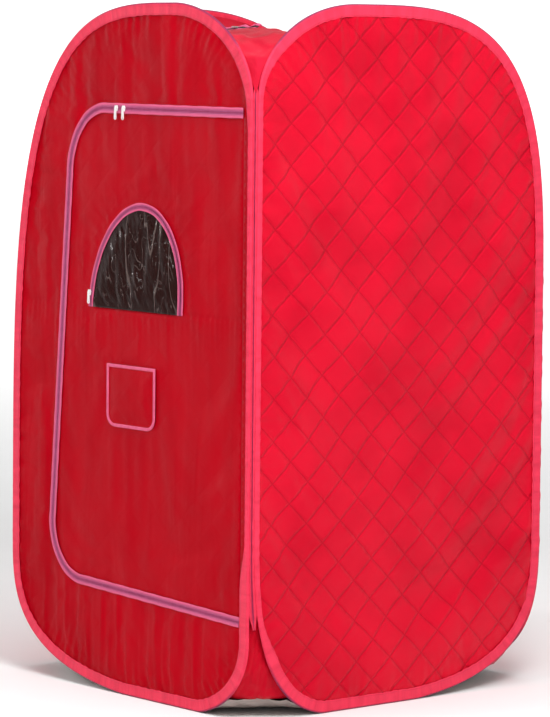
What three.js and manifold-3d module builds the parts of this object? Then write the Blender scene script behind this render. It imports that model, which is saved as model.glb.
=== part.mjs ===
// A pop-up portable steam sauna: four fabric walls, each held open by a spring-steel
// wire loop in a rim sleeve, sewn together along four upright corners. The front wall
// has a zipped door with a zipped clear window and a pocket. A roof sheet with a zipped
// head opening and a floor sheet close the cabin.
//
// Units are millimetres. +Z is up, the front wall with the door faces -Y, and the
// origin is the middle of the footprint on the floor. Each wall is drawn in its own
// frame: X runs along the wall, Z is up, y = 0 is the inner face and -Y is outside.

import * as THREE from 'three';
import { mergeVertices } from 'three/addons/utils/BufferGeometryUtils.js';
import Module from 'manifold-3d';

const wasm = await Module();
wasm.setup();

// Driving dimensions
const cabinHalf = 500;         // corner hinge lines stand this far from the middle
const wallThickness = 10;      // outside of a rim sleeve
const hingeGap = 3;            // from a hinge line to the end of a wall
const wallHalf = cabinHalf - hingeGap;
const floorSink = 6;           // the loop's curve passes this far under the floor, and is cut flat there
const arcSteps = 10;           // straight pieces in each quarter of a loop
const layerGap = 0.3;          // between pieces that lie on each other
const cutOvershoot = 1;        // a cutting piece passes this far beyond the faces it cuts

const rimWidth = 32;
const sleeveFabric = 1.2;
const wireRadius = 2;
const wireInset = 4.8;         // middle of the wire, in from the rim's outer edge
const wireSides = 6;
const wireEndGap = 0.6;
const ferruleHalf = 28;
const ferruleThickness = 0.8;
const panelInset = 9;
const panelThickness = 6;
const seamRadius = 2.5;
const seamSides = 10;
const seamGap = 4;             // the corner seam ends where the two rims part this far
const seamEndGap = 2;          // from the seam's ends to the roof and the base gussets

const doorHingeX = 463;
const doorTop = 1527;
const doorBottomRight = 252;
const doorTopArc = { x: -96, z: 1347, rx: 150, rz: 180 };
const doorBottomArc = { x: -186, z: 430, rx: 130, rz: 148 };
const doorGap = 0.5;           // each side of the cut
const doorSliders = { right: -15, left: -46 };
const zipTapeWidth = 13;
const tapeThickness = 1.1;

const windowMiddle = 34;
const windowBase = 1020;
const windowHingeZ = 1004;
const windowHalf = 195;
const windowHeight = 266;
const windowLean = 27;         // the top of the arch leans this far towards the hinge side
const windowTapeWidth = 9;
const windowHoleInset = 22;
const windowSheetThickness = 1;
const windowSheetGap = 0.5;    // behind the sheet, to the door
const windowSlider = { inset: 5, rise: 24, lift: 1.5 };

const pocket = { left: -82, right: 121, bottom: 700, top: 864, cornerRadius: 34, thickness: 2.5, binding: 9 };

const roofSteps = 16;
const roofDrop = 14;           // the roof is sewn this far below the rims' outer edge
const roofThickness = 3;
const roofZip = { left: -200, right: 95, y: -150, slider: -4 };

const floorBottom = 1;
const floorThickness = 4;
const gussetThickness = 3;
const gussetFoot = 50;         // the base gussets stop this far above the floor
const gussetLap = 12;          // a base gusset lies this far behind each rim
const steamInlet = {
  u: -250, z: 300, boreRadius: 30, holeRadius: 38, flangeRadius: 48, clearance: 0.4, insideLip: 1, sides: 24,
};

// Zip sliders and their pull tabs
const sliderSize = { width: 12, endWidth: 7.2, height: 15, shoulder: 5.25, depth: 3.4, gap: 0.4 };
const pullSize = { width: 9, neckWidth: 6.3, height: 34, depth: 2, eyeRadius: 2.2, drop: 3, gap: 0.5 };

// The height of each wall, and the curve its loop takes in each quarter: the quarter's
// height, and the power of its superellipse (2 is round, more is squarer). "low" is the
// wall's -X end and "high" its +X end. The top and bottom quarters meet at an apex.
const wallShapes = {
  front: {
    top: 1800, apexTop: 187, apexBottom: 240,
    topLow: { height: 1260, power: 3.2 }, topHigh: { height: 239, power: 1.9 },
    bottomLow: { height: 364, power: 2.85 }, bottomHigh: { height: 209, power: 2.06 },
  },
  right: {
    top: 1800, apexTop: -173, apexBottom: -170,
    topLow: { height: 248, power: 2.05 }, topHigh: { height: 801, power: 3.37 },
    bottomLow: { height: 500, power: 2.8 }, bottomHigh: { height: 403, power: 2.9 },
  },
  back: {
    top: 1760, apexTop: 100, apexBottom: 0,
    topLow: { height: 870, power: 3.1 }, topHigh: { height: 165, power: 2 },
    bottomLow: { height: 400, power: 2.9 }, bottomHigh: { height: 400, power: 2.9 },
  },
  left: {
    top: 1786, apexTop: -100, apexBottom: 0,
    topLow: { height: 173, power: 2 }, topHigh: { height: 1220, power: 3.2 },
    bottomLow: { height: 400, power: 2.9 }, bottomHigh: { height: 380, power: 2.85 },
  },
};

// Materials
const material = (color, roughness, metalness = 0) =>
  new THREE.MeshStandardMaterial({ color, roughness, metalness });
const redFabric = material(0xb01428, 0.45);
const quiltedFabric = material(0xe02845, 0.5);
const rimFabric = material(0xfa4664, 0.5);
const roofFabric = material(0xe8304c, 0.6);
const floorFabric = material(0x645a55, 0.9);
const pinkTape = material(0xeb5f8c, 0.6);
const clearSheet = material(0x332b28, 0.15);
const whiteEnamel = material(0xf4f0ee, 0.3);
const springSteel = material(0x8a8d90, 0.35, 0.9);
const rubber = material(0x2a2a2c, 0.7);

// Solid helpers
function toManifold(geometry) {
  const bare = geometry.clone();
  bare.deleteAttribute('normal');
  bare.deleteAttribute('uv');
  const merged = mergeVertices(bare, 1e-4);
  return new wasm.Manifold(new wasm.Mesh({
    numProp: 3,
    vertProperties: Float32Array.from(merged.attributes.position.array),
    triVerts: Uint32Array.from(merged.index.array),
  }));
}

function cut(geometry, ...tools) {
  let solid = toManifold(geometry);
  for (const tool of tools) solid = solid.subtract(toManifold(tool));
  const mesh = solid.getMesh();
  const result = new THREE.BufferGeometry();
  result.setAttribute('position', new THREE.BufferAttribute(new Float32Array(mesh.vertProperties), 3));
  result.setIndex(new THREE.BufferAttribute(new Uint32Array(mesh.triVerts), 1));
  return result;
}

// A flat piece in the wall's XZ plane, between two depths measured out from y = 0
function slab(outline, nearDepth, farDepth, hole) {
  const shape = new THREE.Shape(outline);
  if (hole) shape.holes.push(new THREE.Path(hole));
  const geometry = new THREE.ExtrudeGeometry(shape, { depth: farDepth - nearDepth, bevelEnabled: false });
  geometry.rotateX(Math.PI / 2);
  geometry.translate(0, -nearDepth, 0);
  return geometry;
}

// A sheet to be bent: a flat grid with a top and an underside whose quads are split along
// the same diagonals, so that the two never cross
function sheetGrid(across, up) {
  const geometry = new THREE.BoxGeometry(1, 1, 1, across, up, 1);
  const index = geometry.index;
  const underside = geometry.groups.at(-1);
  for (let i = underside.start; i < underside.start + underside.count; i += 6) {
    const [a, b, c, d] = [0, 1, 4, 5].map((k) => index.getX(i + k));
    [a, b, c, a, c, d].forEach((corner, k) => index.setX(i + k, corner));
  }
  return geometry;
}

function named(name, geometry, surface) {
  const mesh = new THREE.Mesh(geometry, surface);
  mesh.name = name;
  return mesh;
}

// Wall outlines: a closed loop of four superellipse quarters with straight sides
function quarter(halfWidth, height, power, steps = arcSteps) {
  const points = [];
  for (let i = 0; i <= steps; i++) {
    const angle = (i / steps) * Math.PI / 2;
    points.push([
      halfWidth * Math.pow(Math.max(Math.cos(angle), 0), 2 / power),
      height * Math.pow(Math.sin(angle), 2 / power),
    ]);
  }
  return points;
}

function wallOutline(wall, inset) {
  const half = wallHalf - inset;
  const topZ = (part) => wall.top - part.height;
  const bottomZ = (part) => part.height - floorSink;
  const above = (part, z) => topZ(part) + z * (part.height - inset) / part.height;
  const below = (part, z) => Math.max(inset, bottomZ(part) - z * (part.height - inset) / part.height);
  const { topHigh, topLow, bottomLow, bottomHigh, apexTop, apexBottom } = wall;
  const loop = [];
  for (const [x, z] of quarter(half - apexTop, topHigh.height, topHigh.power)) {
    loop.push([apexTop + x, above(topHigh, z)]);
  }
  for (const [x, z] of quarter(half + apexTop, topLow.height, topLow.power).reverse().slice(1)) {
    loop.push([apexTop - x, above(topLow, z)]);
  }
  for (const [x, z] of quarter(half + apexBottom, bottomLow.height, bottomLow.power)) {
    loop.push([apexBottom - x, below(bottomLow, z)]);
  }
  for (const [x, z] of quarter(half - apexBottom, bottomHigh.height, bottomHigh.power).reverse().slice(1)) {
    loop.push([apexBottom + x, below(bottomHigh, z)]);
  }
  return loop.map(([x, z]) => new THREE.Vector2(x, z));
}

// The height of a wall's outer edge above the point x along it
function crownHeight(wall, x) {
  const high = x > wall.apexTop;
  const part = high ? wall.topHigh : wall.topLow;
  const halfWidth = high ? wallHalf - wall.apexTop : wallHalf + wall.apexTop;
  const reach = Math.min(Math.abs(x - wall.apexTop) / halfWidth, 1);
  return wall.top - part.height + part.height * Math.pow(1 - Math.pow(reach, part.power), 1 / part.power);
}

// The same for its lower edge
function footHeight(wall, x) {
  const high = x > wall.apexBottom;
  const part = high ? wall.bottomHigh : wall.bottomLow;
  const halfWidth = high ? wallHalf - wall.apexBottom : wallHalf + wall.apexBottom;
  const reach = Math.min(Math.abs(x - wall.apexBottom) / halfWidth, 1);
  const height = part.height * (1 - Math.pow(1 - Math.pow(reach, part.power), 1 / part.power));
  return Math.max(height - floorSink, 0);
}

// How far in from the wall's end its lower edge is at a height
function footReach([name, side], z) {
  const wall = wallShapes[name];
  const part = side > 0 ? wall.bottomHigh : wall.bottomLow;
  const halfWidth = wallHalf - side * wall.apexBottom;
  const rise = Math.min(Math.max((part.height - floorSink - z) / part.height, 0), 1);
  return halfWidth * (1 - Math.pow(1 - Math.pow(rise, part.power), 1 / part.power));
}

// A path that passes through its points and nowhere else, so that a swept tube has one
// ring of corners at each of them
class PointPath extends THREE.Curve {
  constructor(points) {
    super();
    this.points = points;
  }

  getUtoTmapping(u) {
    return u;
  }

  getPoint(t, target = new THREE.Vector3()) {
    const place = Math.min(Math.max(t, 0), 1) * (this.points.length - 1);
    const i = Math.min(Math.floor(place), this.points.length - 2);
    return target.lerpVectors(this.points[i], this.points[i + 1], place - i);
  }
}

// Frame pieces, the same for every wall
function wireLoop(wall) {
  const outline = wallOutline(wall, wireInset);
  const depth = -wallThickness / 2;
  const lowest = outline.findIndex((p) => Math.abs(p.x - wall.apexBottom) < 1e-6);
  const ring = [...outline.slice(lowest + 1), ...outline.slice(0, lowest)];
  const z = wireInset;
  const ends = [
    new THREE.Vector2(wall.apexBottom + wireEndGap / 2, z),
    new THREE.Vector2(wall.apexBottom - wireEndGap / 2, z),
  ];
  const points = [ends[0], ...ring, ends[1]].map((p) => new THREE.Vector3(p.x, depth, p.y));
  const section = new THREE.Shape();
  for (let i = 0; i < wireSides; i++) {
    const angle = ((i + 0.5) / wireSides) * Math.PI * 2;
    const place = [wireRadius * Math.cos(angle), wireRadius * Math.sin(angle)];
    if (i === 0) section.moveTo(...place);
    else section.lineTo(...place);
  }
  section.closePath();
  return new THREE.ExtrudeGeometry(section, {
    steps: points.length - 1,
    extrudePath: new PointPath(points),
    bevelEnabled: false,
  });
}

function wireFerrule(wall) {
  const inner = wireRadius + layerGap;
  const outer = inner + ferruleThickness;
  const profile = [
    [inner, -ferruleHalf],
    [outer, -ferruleHalf],
    [outer, ferruleHalf],
    [inner, ferruleHalf],
    [inner, -ferruleHalf],
  ].map(([r, y]) => new THREE.Vector2(r, y));
  const geometry = new THREE.LatheGeometry(profile, 12);
  geometry.rotateZ(Math.PI / 2);
  geometry.translate(wall.apexBottom, -wallThickness / 2, wireInset);
  return geometry;
}

// A folded strip, open towards the middle of the wall
function rimSleeve(wall) {
  const ring = slab(wallOutline(wall, 0), 0, wallThickness, wallOutline(wall, rimWidth));
  const channel = slab(wallOutline(wall, sleeveFabric), sleeveFabric, wallThickness - sleeveFabric);
  return cut(ring, channel);
}

const panelNear = (wallThickness - panelThickness) / 2;
const panelFar = panelNear + panelThickness;

function wallPanel(wall, ...holes) {
  const whole = slab(wallOutline(wall, panelInset), panelNear, panelFar);
  return holes.length ? cut(whole, ...holes) : whole;
}

// Door outline, grown by an amount: along the top from the hinge, round the two free
// corners and back along the bottom
function doorOutline(grow, hingeX = doorHingeX) {
  const arcPoints = 8;
  const points = [[hingeX, doorTop + grow]];
  for (let i = 0; i <= arcPoints; i++) {
    const angle = Math.PI / 2 * (1 + i / arcPoints);
    points.push([
      doorTopArc.x + (doorTopArc.rx + grow) * Math.cos(angle),
      doorTopArc.z + (doorTopArc.rz + grow) * Math.sin(angle),
    ]);
  }
  for (let i = 0; i <= arcPoints; i++) {
    const angle = Math.PI * (1 + i / arcPoints / 2);
    points.push([
      doorBottomArc.x + (doorBottomArc.rx + grow) * Math.cos(angle),
      doorBottomArc.z + (doorBottomArc.rz + grow) * Math.sin(angle),
    ]);
  }
  points.push([hingeX, doorBottomRight - grow]);
  return points.map(([x, z]) => new THREE.Vector2(x, z));
}

// Window outline, grown by an amount: up from the right end of the base and over the arch
function windowOutline(grow, base) {
  const archPoints = 18;
  const points = [];
  for (let i = 0; i <= archPoints; i++) {
    const angle = Math.PI * i / archPoints;
    points.push(new THREE.Vector2(
      windowMiddle + windowLean * Math.sin(angle) + (windowHalf + grow) * Math.cos(angle),
      windowBase + (windowHeight + grow) * Math.sin(angle),
    ));
  }
  if (base < windowBase) {
    points.push(new THREE.Vector2(points.at(-1).x, base));
    points.unshift(new THREE.Vector2(points[0].x, base));
  }
  return points;
}

// A strip between two open outlines that run the same way
const strip = (outer, inner, near, far) => slab([...outer, ...inner.slice().reverse()], near, far);

const tapeNear = panelFar + layerGap;
const tapeFar = tapeNear + tapeThickness;
const sheetNear = panelFar + windowSheetGap;
const sheetFar = sheetNear + windowSheetThickness;
const sheetTapeNear = sheetFar + layerGap;
const sheetTapeFar = sheetTapeNear + tapeThickness;

function pocketOutline(inset) {
  const { left, right, bottom, top, cornerRadius } = pocket;
  const radius = cornerRadius - inset;
  const cornerPoints = 5;
  const points = [[right - inset, top - inset], [left + inset, top - inset]];
  for (let i = 0; i <= cornerPoints; i++) {
    const angle = Math.PI * (1 + i / cornerPoints / 2);
    points.push([
      left + cornerRadius + radius * Math.cos(angle),
      bottom + cornerRadius + radius * Math.sin(angle),
    ]);
  }
  for (let i = 0; i <= cornerPoints; i++) {
    const angle = Math.PI * (1.5 + i / cornerPoints / 2);
    points.push([
      right - cornerRadius + radius * Math.cos(angle),
      bottom + cornerRadius + radius * Math.sin(angle),
    ]);
  }
  return points.map(([x, z]) => new THREE.Vector2(x, z));
}

// Zip sliders and pull tabs, drawn hanging, with the middle of their top at the origin
function sliderBody() {
  const { width, endWidth, height, shoulder, depth } = sliderSize;
  const outline = [
    [-width / 2, -shoulder],
    [-endWidth / 2, -height],
    [endWidth / 2, -height],
    [width / 2, -shoulder],
    [endWidth / 2, 0],
    [-endWidth / 2, 0],
  ].map(([x, z]) => new THREE.Vector2(x, z));
  return slab(outline, 0, depth);
}

function pullTab() {
  const { width, neckWidth, height, depth, eyeRadius } = pullSize;
  const endPoints = 8;
  const ends = [
    { radius: neckWidth / 2, z: -neckWidth / 2, from: 0 },
    { radius: width / 2, z: width / 2 - height, from: Math.PI },
  ];
  const outline = [];
  for (const { radius, z, from } of ends) {
    for (let i = 0; i <= endPoints; i++) {
      const angle = from + Math.PI * i / endPoints;
      outline.push(new THREE.Vector2(radius * Math.cos(angle), z + radius * Math.sin(angle)));
    }
  }
  const eye = new THREE.Path().absarc(0, ends[1].z, eyeRadius, 0, Math.PI * 2);
  const shape = new THREE.Shape(outline);
  shape.holes.push(new THREE.Path(eye.getPoints(endPoints).slice(0, -1)));
  const geometry = new THREE.ExtrudeGeometry(shape, { depth, bevelEnabled: false });
  geometry.rotateX(Math.PI / 2);
  return geometry;
}

const sliderNear = tapeFar + sliderSize.gap;
const pullNear = sliderNear + sliderSize.depth + pullSize.gap;

// A slider with its middle at x, z, and its tab, lifted off the tape by an amount
function sliderAndPull(names, x, z, lift = 0) {
  const group = new THREE.Group();
  const top = z + sliderSize.height / 2;
  const body = named(names.slider, sliderBody(), whiteEnamel);
  body.position.set(x, -sliderNear - lift, top);
  const pull = named(names.pull, pullTab(), whiteEnamel);
  pull.position.set(x, -pullNear - lift, top - pullSize.drop);
  group.add(body, pull);
  return group;
}

// Walls
const model = new THREE.Group();
const wallPlaces = {
  front: { x: 0, y: -cabinHalf, turn: 0 },
  right: { x: cabinHalf, y: 0, turn: Math.PI / 2 },
  back: { x: 0, y: cabinHalf, turn: Math.PI },
  left: { x: -cabinHalf, y: 0, turn: -Math.PI / 2 },
};
const walls = {};

function addWall(name, panel, surface) {
  const wall = wallShapes[name];
  const group = new THREE.Group();
  const place = wallPlaces[name];
  group.position.set(place.x, place.y, 0);
  group.rotation.z = place.turn;
  group.add(
    named(`${name}_wire_loop`, wireLoop(wall), springSteel),
    named(`${name}_wire_ferrule`, wireFerrule(wall), springSteel),
    named(`${name}_rim_sleeve`, rimSleeve(wall), rimFabric),
    named(`${name}_panel`, panel, surface),
  );
  walls[name] = group;
  model.add(group);
}

// A slab that cuts right through a wall
const cutter = (outline) => slab(outline, -cutOvershoot, wallThickness + cutOvershoot);

const doorway = cutter(doorOutline(doorGap, doorHingeX + doorGap));
addWall('front', wallPanel(wallShapes.front, doorway), redFabric);
addWall('right', wallPanel(wallShapes.right), quiltedFabric);
addWall('back', wallPanel(wallShapes.back), quiltedFabric);

const inletHole = new THREE.CylinderGeometry(
  steamInlet.holeRadius, steamInlet.holeRadius, wallThickness * 2, steamInlet.sides,
);
inletHole.translate(steamInlet.u, -wallThickness / 2, steamInlet.z);
addWall('left', wallPanel(wallShapes.left, inletHole), quiltedFabric);

// Steam inlet: a flanged ring in the left wall
const inletInner = panelNear - steamInlet.insideLip;
const inletNeck = steamInlet.holeRadius - steamInlet.clearance;
const flangeNear = panelFar + steamInlet.clearance;
const flangeFar = wallThickness - steamInlet.clearance;
const inletProfile = [
  [steamInlet.boreRadius, inletInner],
  [inletNeck, inletInner],
  [inletNeck, flangeNear],
  [steamInlet.flangeRadius, flangeNear],
  [steamInlet.flangeRadius, flangeFar],
  [steamInlet.boreRadius, flangeFar],
  [steamInlet.boreRadius, inletInner],
].map(([r, depth]) => new THREE.Vector2(r, -depth)).reverse();
const inletRing = new THREE.LatheGeometry(inletProfile, steamInlet.sides);
inletRing.translate(steamInlet.u, 0, steamInlet.z);
walls.left.add(named('steam_inlet_collar', inletRing, rubber));

// Door, its zip, pocket and sliders
const windowHole = cutter(windowOutline(-windowHoleInset, windowBase));
const doorLeaf = cut(slab(doorOutline(-doorGap, doorHingeX - doorGap), panelNear, panelFar), windowHole);
const frameTape = strip(doorOutline(zipTapeWidth), doorOutline(doorGap), tapeNear, tapeFar);
const leafTape = strip(doorOutline(-doorGap), doorOutline(-zipTapeWidth), tapeNear, tapeFar);
walls.front.add(
  named('door_panel', doorLeaf, redFabric),
  named('door_zip_frame_tape', frameTape, pinkTape),
  named('door_zip_leaf_tape', leafTape, pinkTape),
);

const pocketNear = panelFar + layerGap;
const pocketFar = pocketNear + pocket.thickness;
const bindingNear = pocketFar + layerGap;
const bindingRing = slab(
  pocketOutline(0), bindingNear, bindingNear + tapeThickness, pocketOutline(pocket.binding),
);
walls.front.add(
  named('pocket_patch', slab(pocketOutline(0), pocketNear, pocketFar), redFabric),
  named('pocket_binding', bindingRing, pinkTape),
);

for (const [side, x] of Object.entries(doorSliders)) {
  walls.front.add(sliderAndPull({ slider: `door_slider_${side}`, pull: `door_pull_${side}` }, x, doorTop));
}

// Window flap, hinged along its foot, with a zip round the arch
const flapGap = 1;             // between the two halves of the zip, and below the sheet's foot
const flapEdge = -windowTapeWidth - flapGap;
const windowFrameTape = strip(
  windowOutline(0, windowBase), windowOutline(-windowTapeWidth, windowBase), tapeNear, tapeFar,
);
const windowFlapTape = strip(
  windowOutline(flapEdge, windowBase), windowOutline(flapEdge - windowTapeWidth, windowBase),
  sheetTapeNear, sheetTapeFar,
);
const windowSheet = slab(windowOutline(flapEdge, windowHingeZ + flapGap), sheetNear, sheetFar);
const sliderLean = windowLean * windowSlider.rise / windowHeight;
const windowSliderX = windowMiddle - windowHalf + windowSlider.inset + sliderLean;
const windowSliderZ = windowBase + windowSlider.rise;
const windowSliderNames = { slider: 'window_slider', pull: 'window_pull' };
walls.front.add(
  named('window_zip_frame_tape', windowFrameTape, pinkTape),
  named('window_sheet', windowSheet, clearSheet),
  named('window_zip_flap_tape', windowFlapTape, pinkTape),
  sliderAndPull(windowSliderNames, windowSliderX, windowSliderZ, windowSlider.lift),
);

// Corner seams: a bead of sewn fabric on each hinge line, from where the rims meet above
// the floor to where they part below the roof. Each corner names the end of the wall that
// runs along X and the end of the wall that runs along Y.
const corners = {
  front_right: { x: 1, y: -1, alongX: ['front', 1], alongY: ['right', -1] },
  front_left: { x: -1, y: -1, alongX: ['front', -1], alongY: ['left', 1] },
  back_right: { x: 1, y: 1, alongX: ['back', -1], alongY: ['right', 1] },
  back_left: { x: -1, y: 1, alongX: ['back', 1], alongY: ['left', -1] },
};

function seamTop([name, side]) {
  const wall = wallShapes[name];
  const part = side > 0 ? wall.topHigh : wall.topLow;
  const halfWidth = wallHalf - side * wall.apexTop;
  const fall = Math.pow(1 - Math.pow(1 - seamGap / halfWidth, part.power), 1 / part.power);
  return wall.top - part.height + part.height * fall;
}

function seamFoot([name, side]) {
  const wall = wallShapes[name];
  const part = side > 0 ? wall.bottomHigh : wall.bottomLow;
  const halfWidth = wallHalf - side * wall.apexBottom;
  const fall = Math.pow(1 - Math.pow(1 - seamGap / halfWidth, part.power), 1 / part.power);
  return part.height - floorSink - part.height * fall;
}

for (const [name, corner] of Object.entries(corners)) {
  corner.top = Math.min(seamTop(corner.alongX), seamTop(corner.alongY));
  corner.foot = Math.max(seamFoot(corner.alongX), seamFoot(corner.alongY));
  const from = corner.foot + gussetLap + seamEndGap;
  const to = corner.top - roofDrop - roofThickness - seamEndGap;
  const seam = new THREE.CylinderGeometry(seamRadius, seamRadius, to - from, seamSides);
  seam.rotateX(Math.PI / 2);
  seam.translate(corner.x * cabinHalf, corner.y * cabinHalf, (from + to) / 2);
  model.add(named(`corner_seam_${name}`, seam, rimFabric));
}

// Roof: a sheet sewn just below the rims all round. Inside, each point of its grid settles
// at the mean height of its neighbours, as a stretched cloth does. Then the middle is
// raised, because the sheet is cut full.
const roofClear = 0.8;         // from the walls' inner faces
const roofReach = cabinHalf - roofClear;
const roofCrown = 45;
const roofDepthLimit = 20;
const roofSweeps = 600;        // enough for the grid to stop moving
const roofPlace = (i) => roofReach * Math.sin((i / roofSteps - 0.5) * Math.PI);

function edgeHeight(name, along, cornerLow, cornerHigh) {
  const seam = along < 0 ? cornerLow.top : cornerHigh.top;
  return Math.max(crownHeight(wallShapes[name], along) - roofDrop, seam - roofDrop);
}

function roofHeights() {
  const { front_right, front_left, back_right, back_left } = corners;
  const last = roofSteps;
  const heights = [];
  for (let i = 0; i <= last; i++) heights.push(new Array(last + 1).fill(0));
  for (let i = 0; i <= last; i++) {
    const p = roofPlace(i);
    heights[i][0] = edgeHeight('front', p, front_left, front_right);
    heights[i][last] = edgeHeight('back', -p, back_right, back_left);
    if (i > 0 && i < last) {
      heights[0][i] = edgeHeight('left', -p, back_left, front_left);
      heights[last][i] = edgeHeight('right', p, front_right, back_right);
    }
  }
  for (let i = 1; i < last; i++) heights[i].fill(heights[i][0], 1, last);
  for (let sweep = 0; sweep < roofSweeps; sweep++) {
    for (let i = 1; i < last; i++) {
      for (let j = 1; j < last; j++) {
        heights[i][j] = (heights[i - 1][j] + heights[i + 1][j] + heights[i][j - 1] + heights[i][j + 1]) / 4;
      }
    }
  }
  const swell = (i) => 1 - Math.pow(roofPlace(i) / roofReach, 2);
  for (let i = 1; i < last; i++) {
    for (let j = 1; j < last; j++) heights[i][j] += roofCrown * swell(i) * swell(j);
  }
  return heights;
}

const roofGrid = roofHeights();

function roofHeight(x, y) {
  const place = (p) => (Math.asin(Math.min(Math.max(p / roofReach, -1), 1)) / Math.PI + 0.5) * roofSteps;
  const i = Math.min(Math.floor(place(x)), roofSteps - 1);
  const j = Math.min(Math.floor(place(y)), roofSteps - 1);
  const a = place(x) - i;
  const b = place(y) - j;
  return (roofGrid[i][j] * (1 - a) + roofGrid[i + 1][j] * a) * (1 - b)
    + (roofGrid[i][j + 1] * (1 - a) + roofGrid[i + 1][j + 1] * a) * b;
}

// How far the sheet's underside is below its top at a grid point, so that the sheet is as
// thick on its slopes. Its edge keeps the plain thickness, clear of the corner seams.
function roofDepth(i, j) {
  if (Math.min(i, j) === 0 || Math.max(i, j) === roofSteps) return roofThickness;
  const slopeX = (roofGrid[i + 1][j] - roofGrid[i - 1][j]) / (roofPlace(i + 1) - roofPlace(i - 1));
  const slopeY = (roofGrid[i][j + 1] - roofGrid[i][j - 1]) / (roofPlace(j + 1) - roofPlace(j - 1));
  return Math.min(roofThickness * Math.hypot(1, slopeX, slopeY), roofDepthLimit);
}

function roofSheet() {
  const geometry = sheetGrid(roofSteps, roofSteps);
  const position = geometry.attributes.position;
  for (let n = 0; n < position.count; n++) {
    const i = Math.round((position.getX(n) + 0.5) * roofSteps);
    const j = Math.round((position.getY(n) + 0.5) * roofSteps);
    const drop = position.getZ(n) < 0 ? roofDepth(i, j) : 0;
    position.setXYZ(n, roofPlace(i), roofPlace(j), roofGrid[i][j] - drop);
  }
  return geometry;
}

// A thin ribbon that lies on the roof along X
function roofRibbon(left, right, y, width, lift, thickness) {
  const stepsAlong = 10;
  const stepsAcross = 2;
  const geometry = new THREE.BoxGeometry(right - left, width, thickness, stepsAlong, stepsAcross, 1);
  const position = geometry.attributes.position;
  for (let n = 0; n < position.count; n++) {
    const x = position.getX(n) + (left + right) / 2;
    const across = position.getY(n) + y;
    position.setXYZ(n, x, across, roofHeight(x, across) + lift + position.getZ(n) + thickness / 2);
  }
  return geometry;
}

const roofTapeLift = 2;
const roofSliderSize = { length: 16, width: 12, depth: 4, lift: 1 };
model.add(
  named('roof_panel', roofSheet(), roofFabric),
  named('roof_zip_tape', roofRibbon(
    roofZip.left, roofZip.right, roofZip.y, 2 * zipTapeWidth, roofTapeLift, tapeThickness,
  ), pinkTape),
);
const roofSlider = new THREE.BoxGeometry(roofSliderSize.length, roofSliderSize.width, roofSliderSize.depth);
const roofTapeTop = roofHeight(roofZip.slider, roofZip.y) + roofTapeLift + tapeThickness;
const roofSliderZ = roofTapeTop + roofSliderSize.lift + roofSliderSize.depth / 2;
roofSlider.translate(roofZip.slider, roofZip.y, roofSliderZ);
model.add(named('roof_zip_slider', roofSlider, whiteEnamel));

// Floor: a sheet that lies flat and turns up at its edge to follow the rims, as far as
// the base gussets at the corners. Its grid is squares inside squares.
const wallRound = ['front', 'right', 'back', 'left'];
const floorSteps = 16;
const floorCurl = 0.25;        // the outer quarter of the sheet turns up
const floorClear = 1;          // from the walls' inner faces and the base gussets
const floorInner = cabinHalf - floorClear;

// The floor's edge behind one wall, from the middle of one cut corner to the next
function floorSide(name) {
  const order = wallRound.indexOf(name);
  const before = wallRound.at(order - 1);
  const after = wallRound[(order + 1) % wallRound.length];
  const lowReach = footReach([name, -1], gussetFoot);
  const highReach = footReach([name, 1], gussetFoot);
  const turn = wallPlaces[name].turn;
  const place = (u, inward, z) => new THREE.Vector3(u, inward - floorInner, z)
    .applyAxisAngle(new THREE.Vector3(0, 0, 1), turn);
  const raised = gussetFoot - floorBottom - floorThickness - floorClear;
  const points = [place(lowReach / 2 - floorInner, footReach([before, 1], gussetFoot) / 2, raised)];
  const from = lowReach - floorInner;
  const to = floorInner - highReach;
  const last = floorSteps - 2;
  for (let i = 0; i <= last; i++) {
    const u = from + (to - from) * (1 - Math.cos(Math.PI * i / last)) / 2;
    points.push(place(u, 0, Math.min(footHeight(wallShapes[name], u), raised)));
  }
  points.push(place(floorInner - highReach / 2, footReach([after, -1], gussetFoot) / 2, raised));
  return points;
}

function floorSheet() {
  const sides = Object.fromEntries(wallRound.map((name) => [name, new PointPath(floorSide(name))]));
  const geometry = sheetGrid(floorSteps, floorSteps);
  const position = geometry.attributes.position;
  for (let n = 0; n < position.count; n++) {
    const a = Math.round(position.getX(n) * floorSteps);
    const b = Math.round(position.getY(n) * floorSteps);
    const ring = Math.max(Math.abs(a), Math.abs(b));
    const along = { front: [-b, a], right: [a, b], back: [b, -a], left: [-a, -b] };
    const name = wallRound.find((side) => along[side][0] === ring);
    const edge = sides[name].getPoint(ring ? (along[name][1] / ring + 1) / 2 : 0.5);
    const out = Math.sin(ring / floorSteps * Math.PI);
    const rise = edge.z * Math.pow(Math.max((out - 1) / floorCurl + 1, 0), 2);
    const top = position.getZ(n) > 0 ? floorThickness : 0;
    position.setXYZ(n, edge.x * out, edge.y * out, floorBottom + rise + top);
  }
  return geometry;
}

model.add(named('floor_panel', floorSheet(), floorFabric));

// Base gussets: each closes a bottom corner between two rims, from the seam's foot down
// to the edge of the floor. A grid runs across the corner and up.
const gussetClear = 1;         // from the walls' inner faces
const gussetBulge = 0.12;      // of its reach, towards the corner
const gussetSteps = 8;

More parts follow.
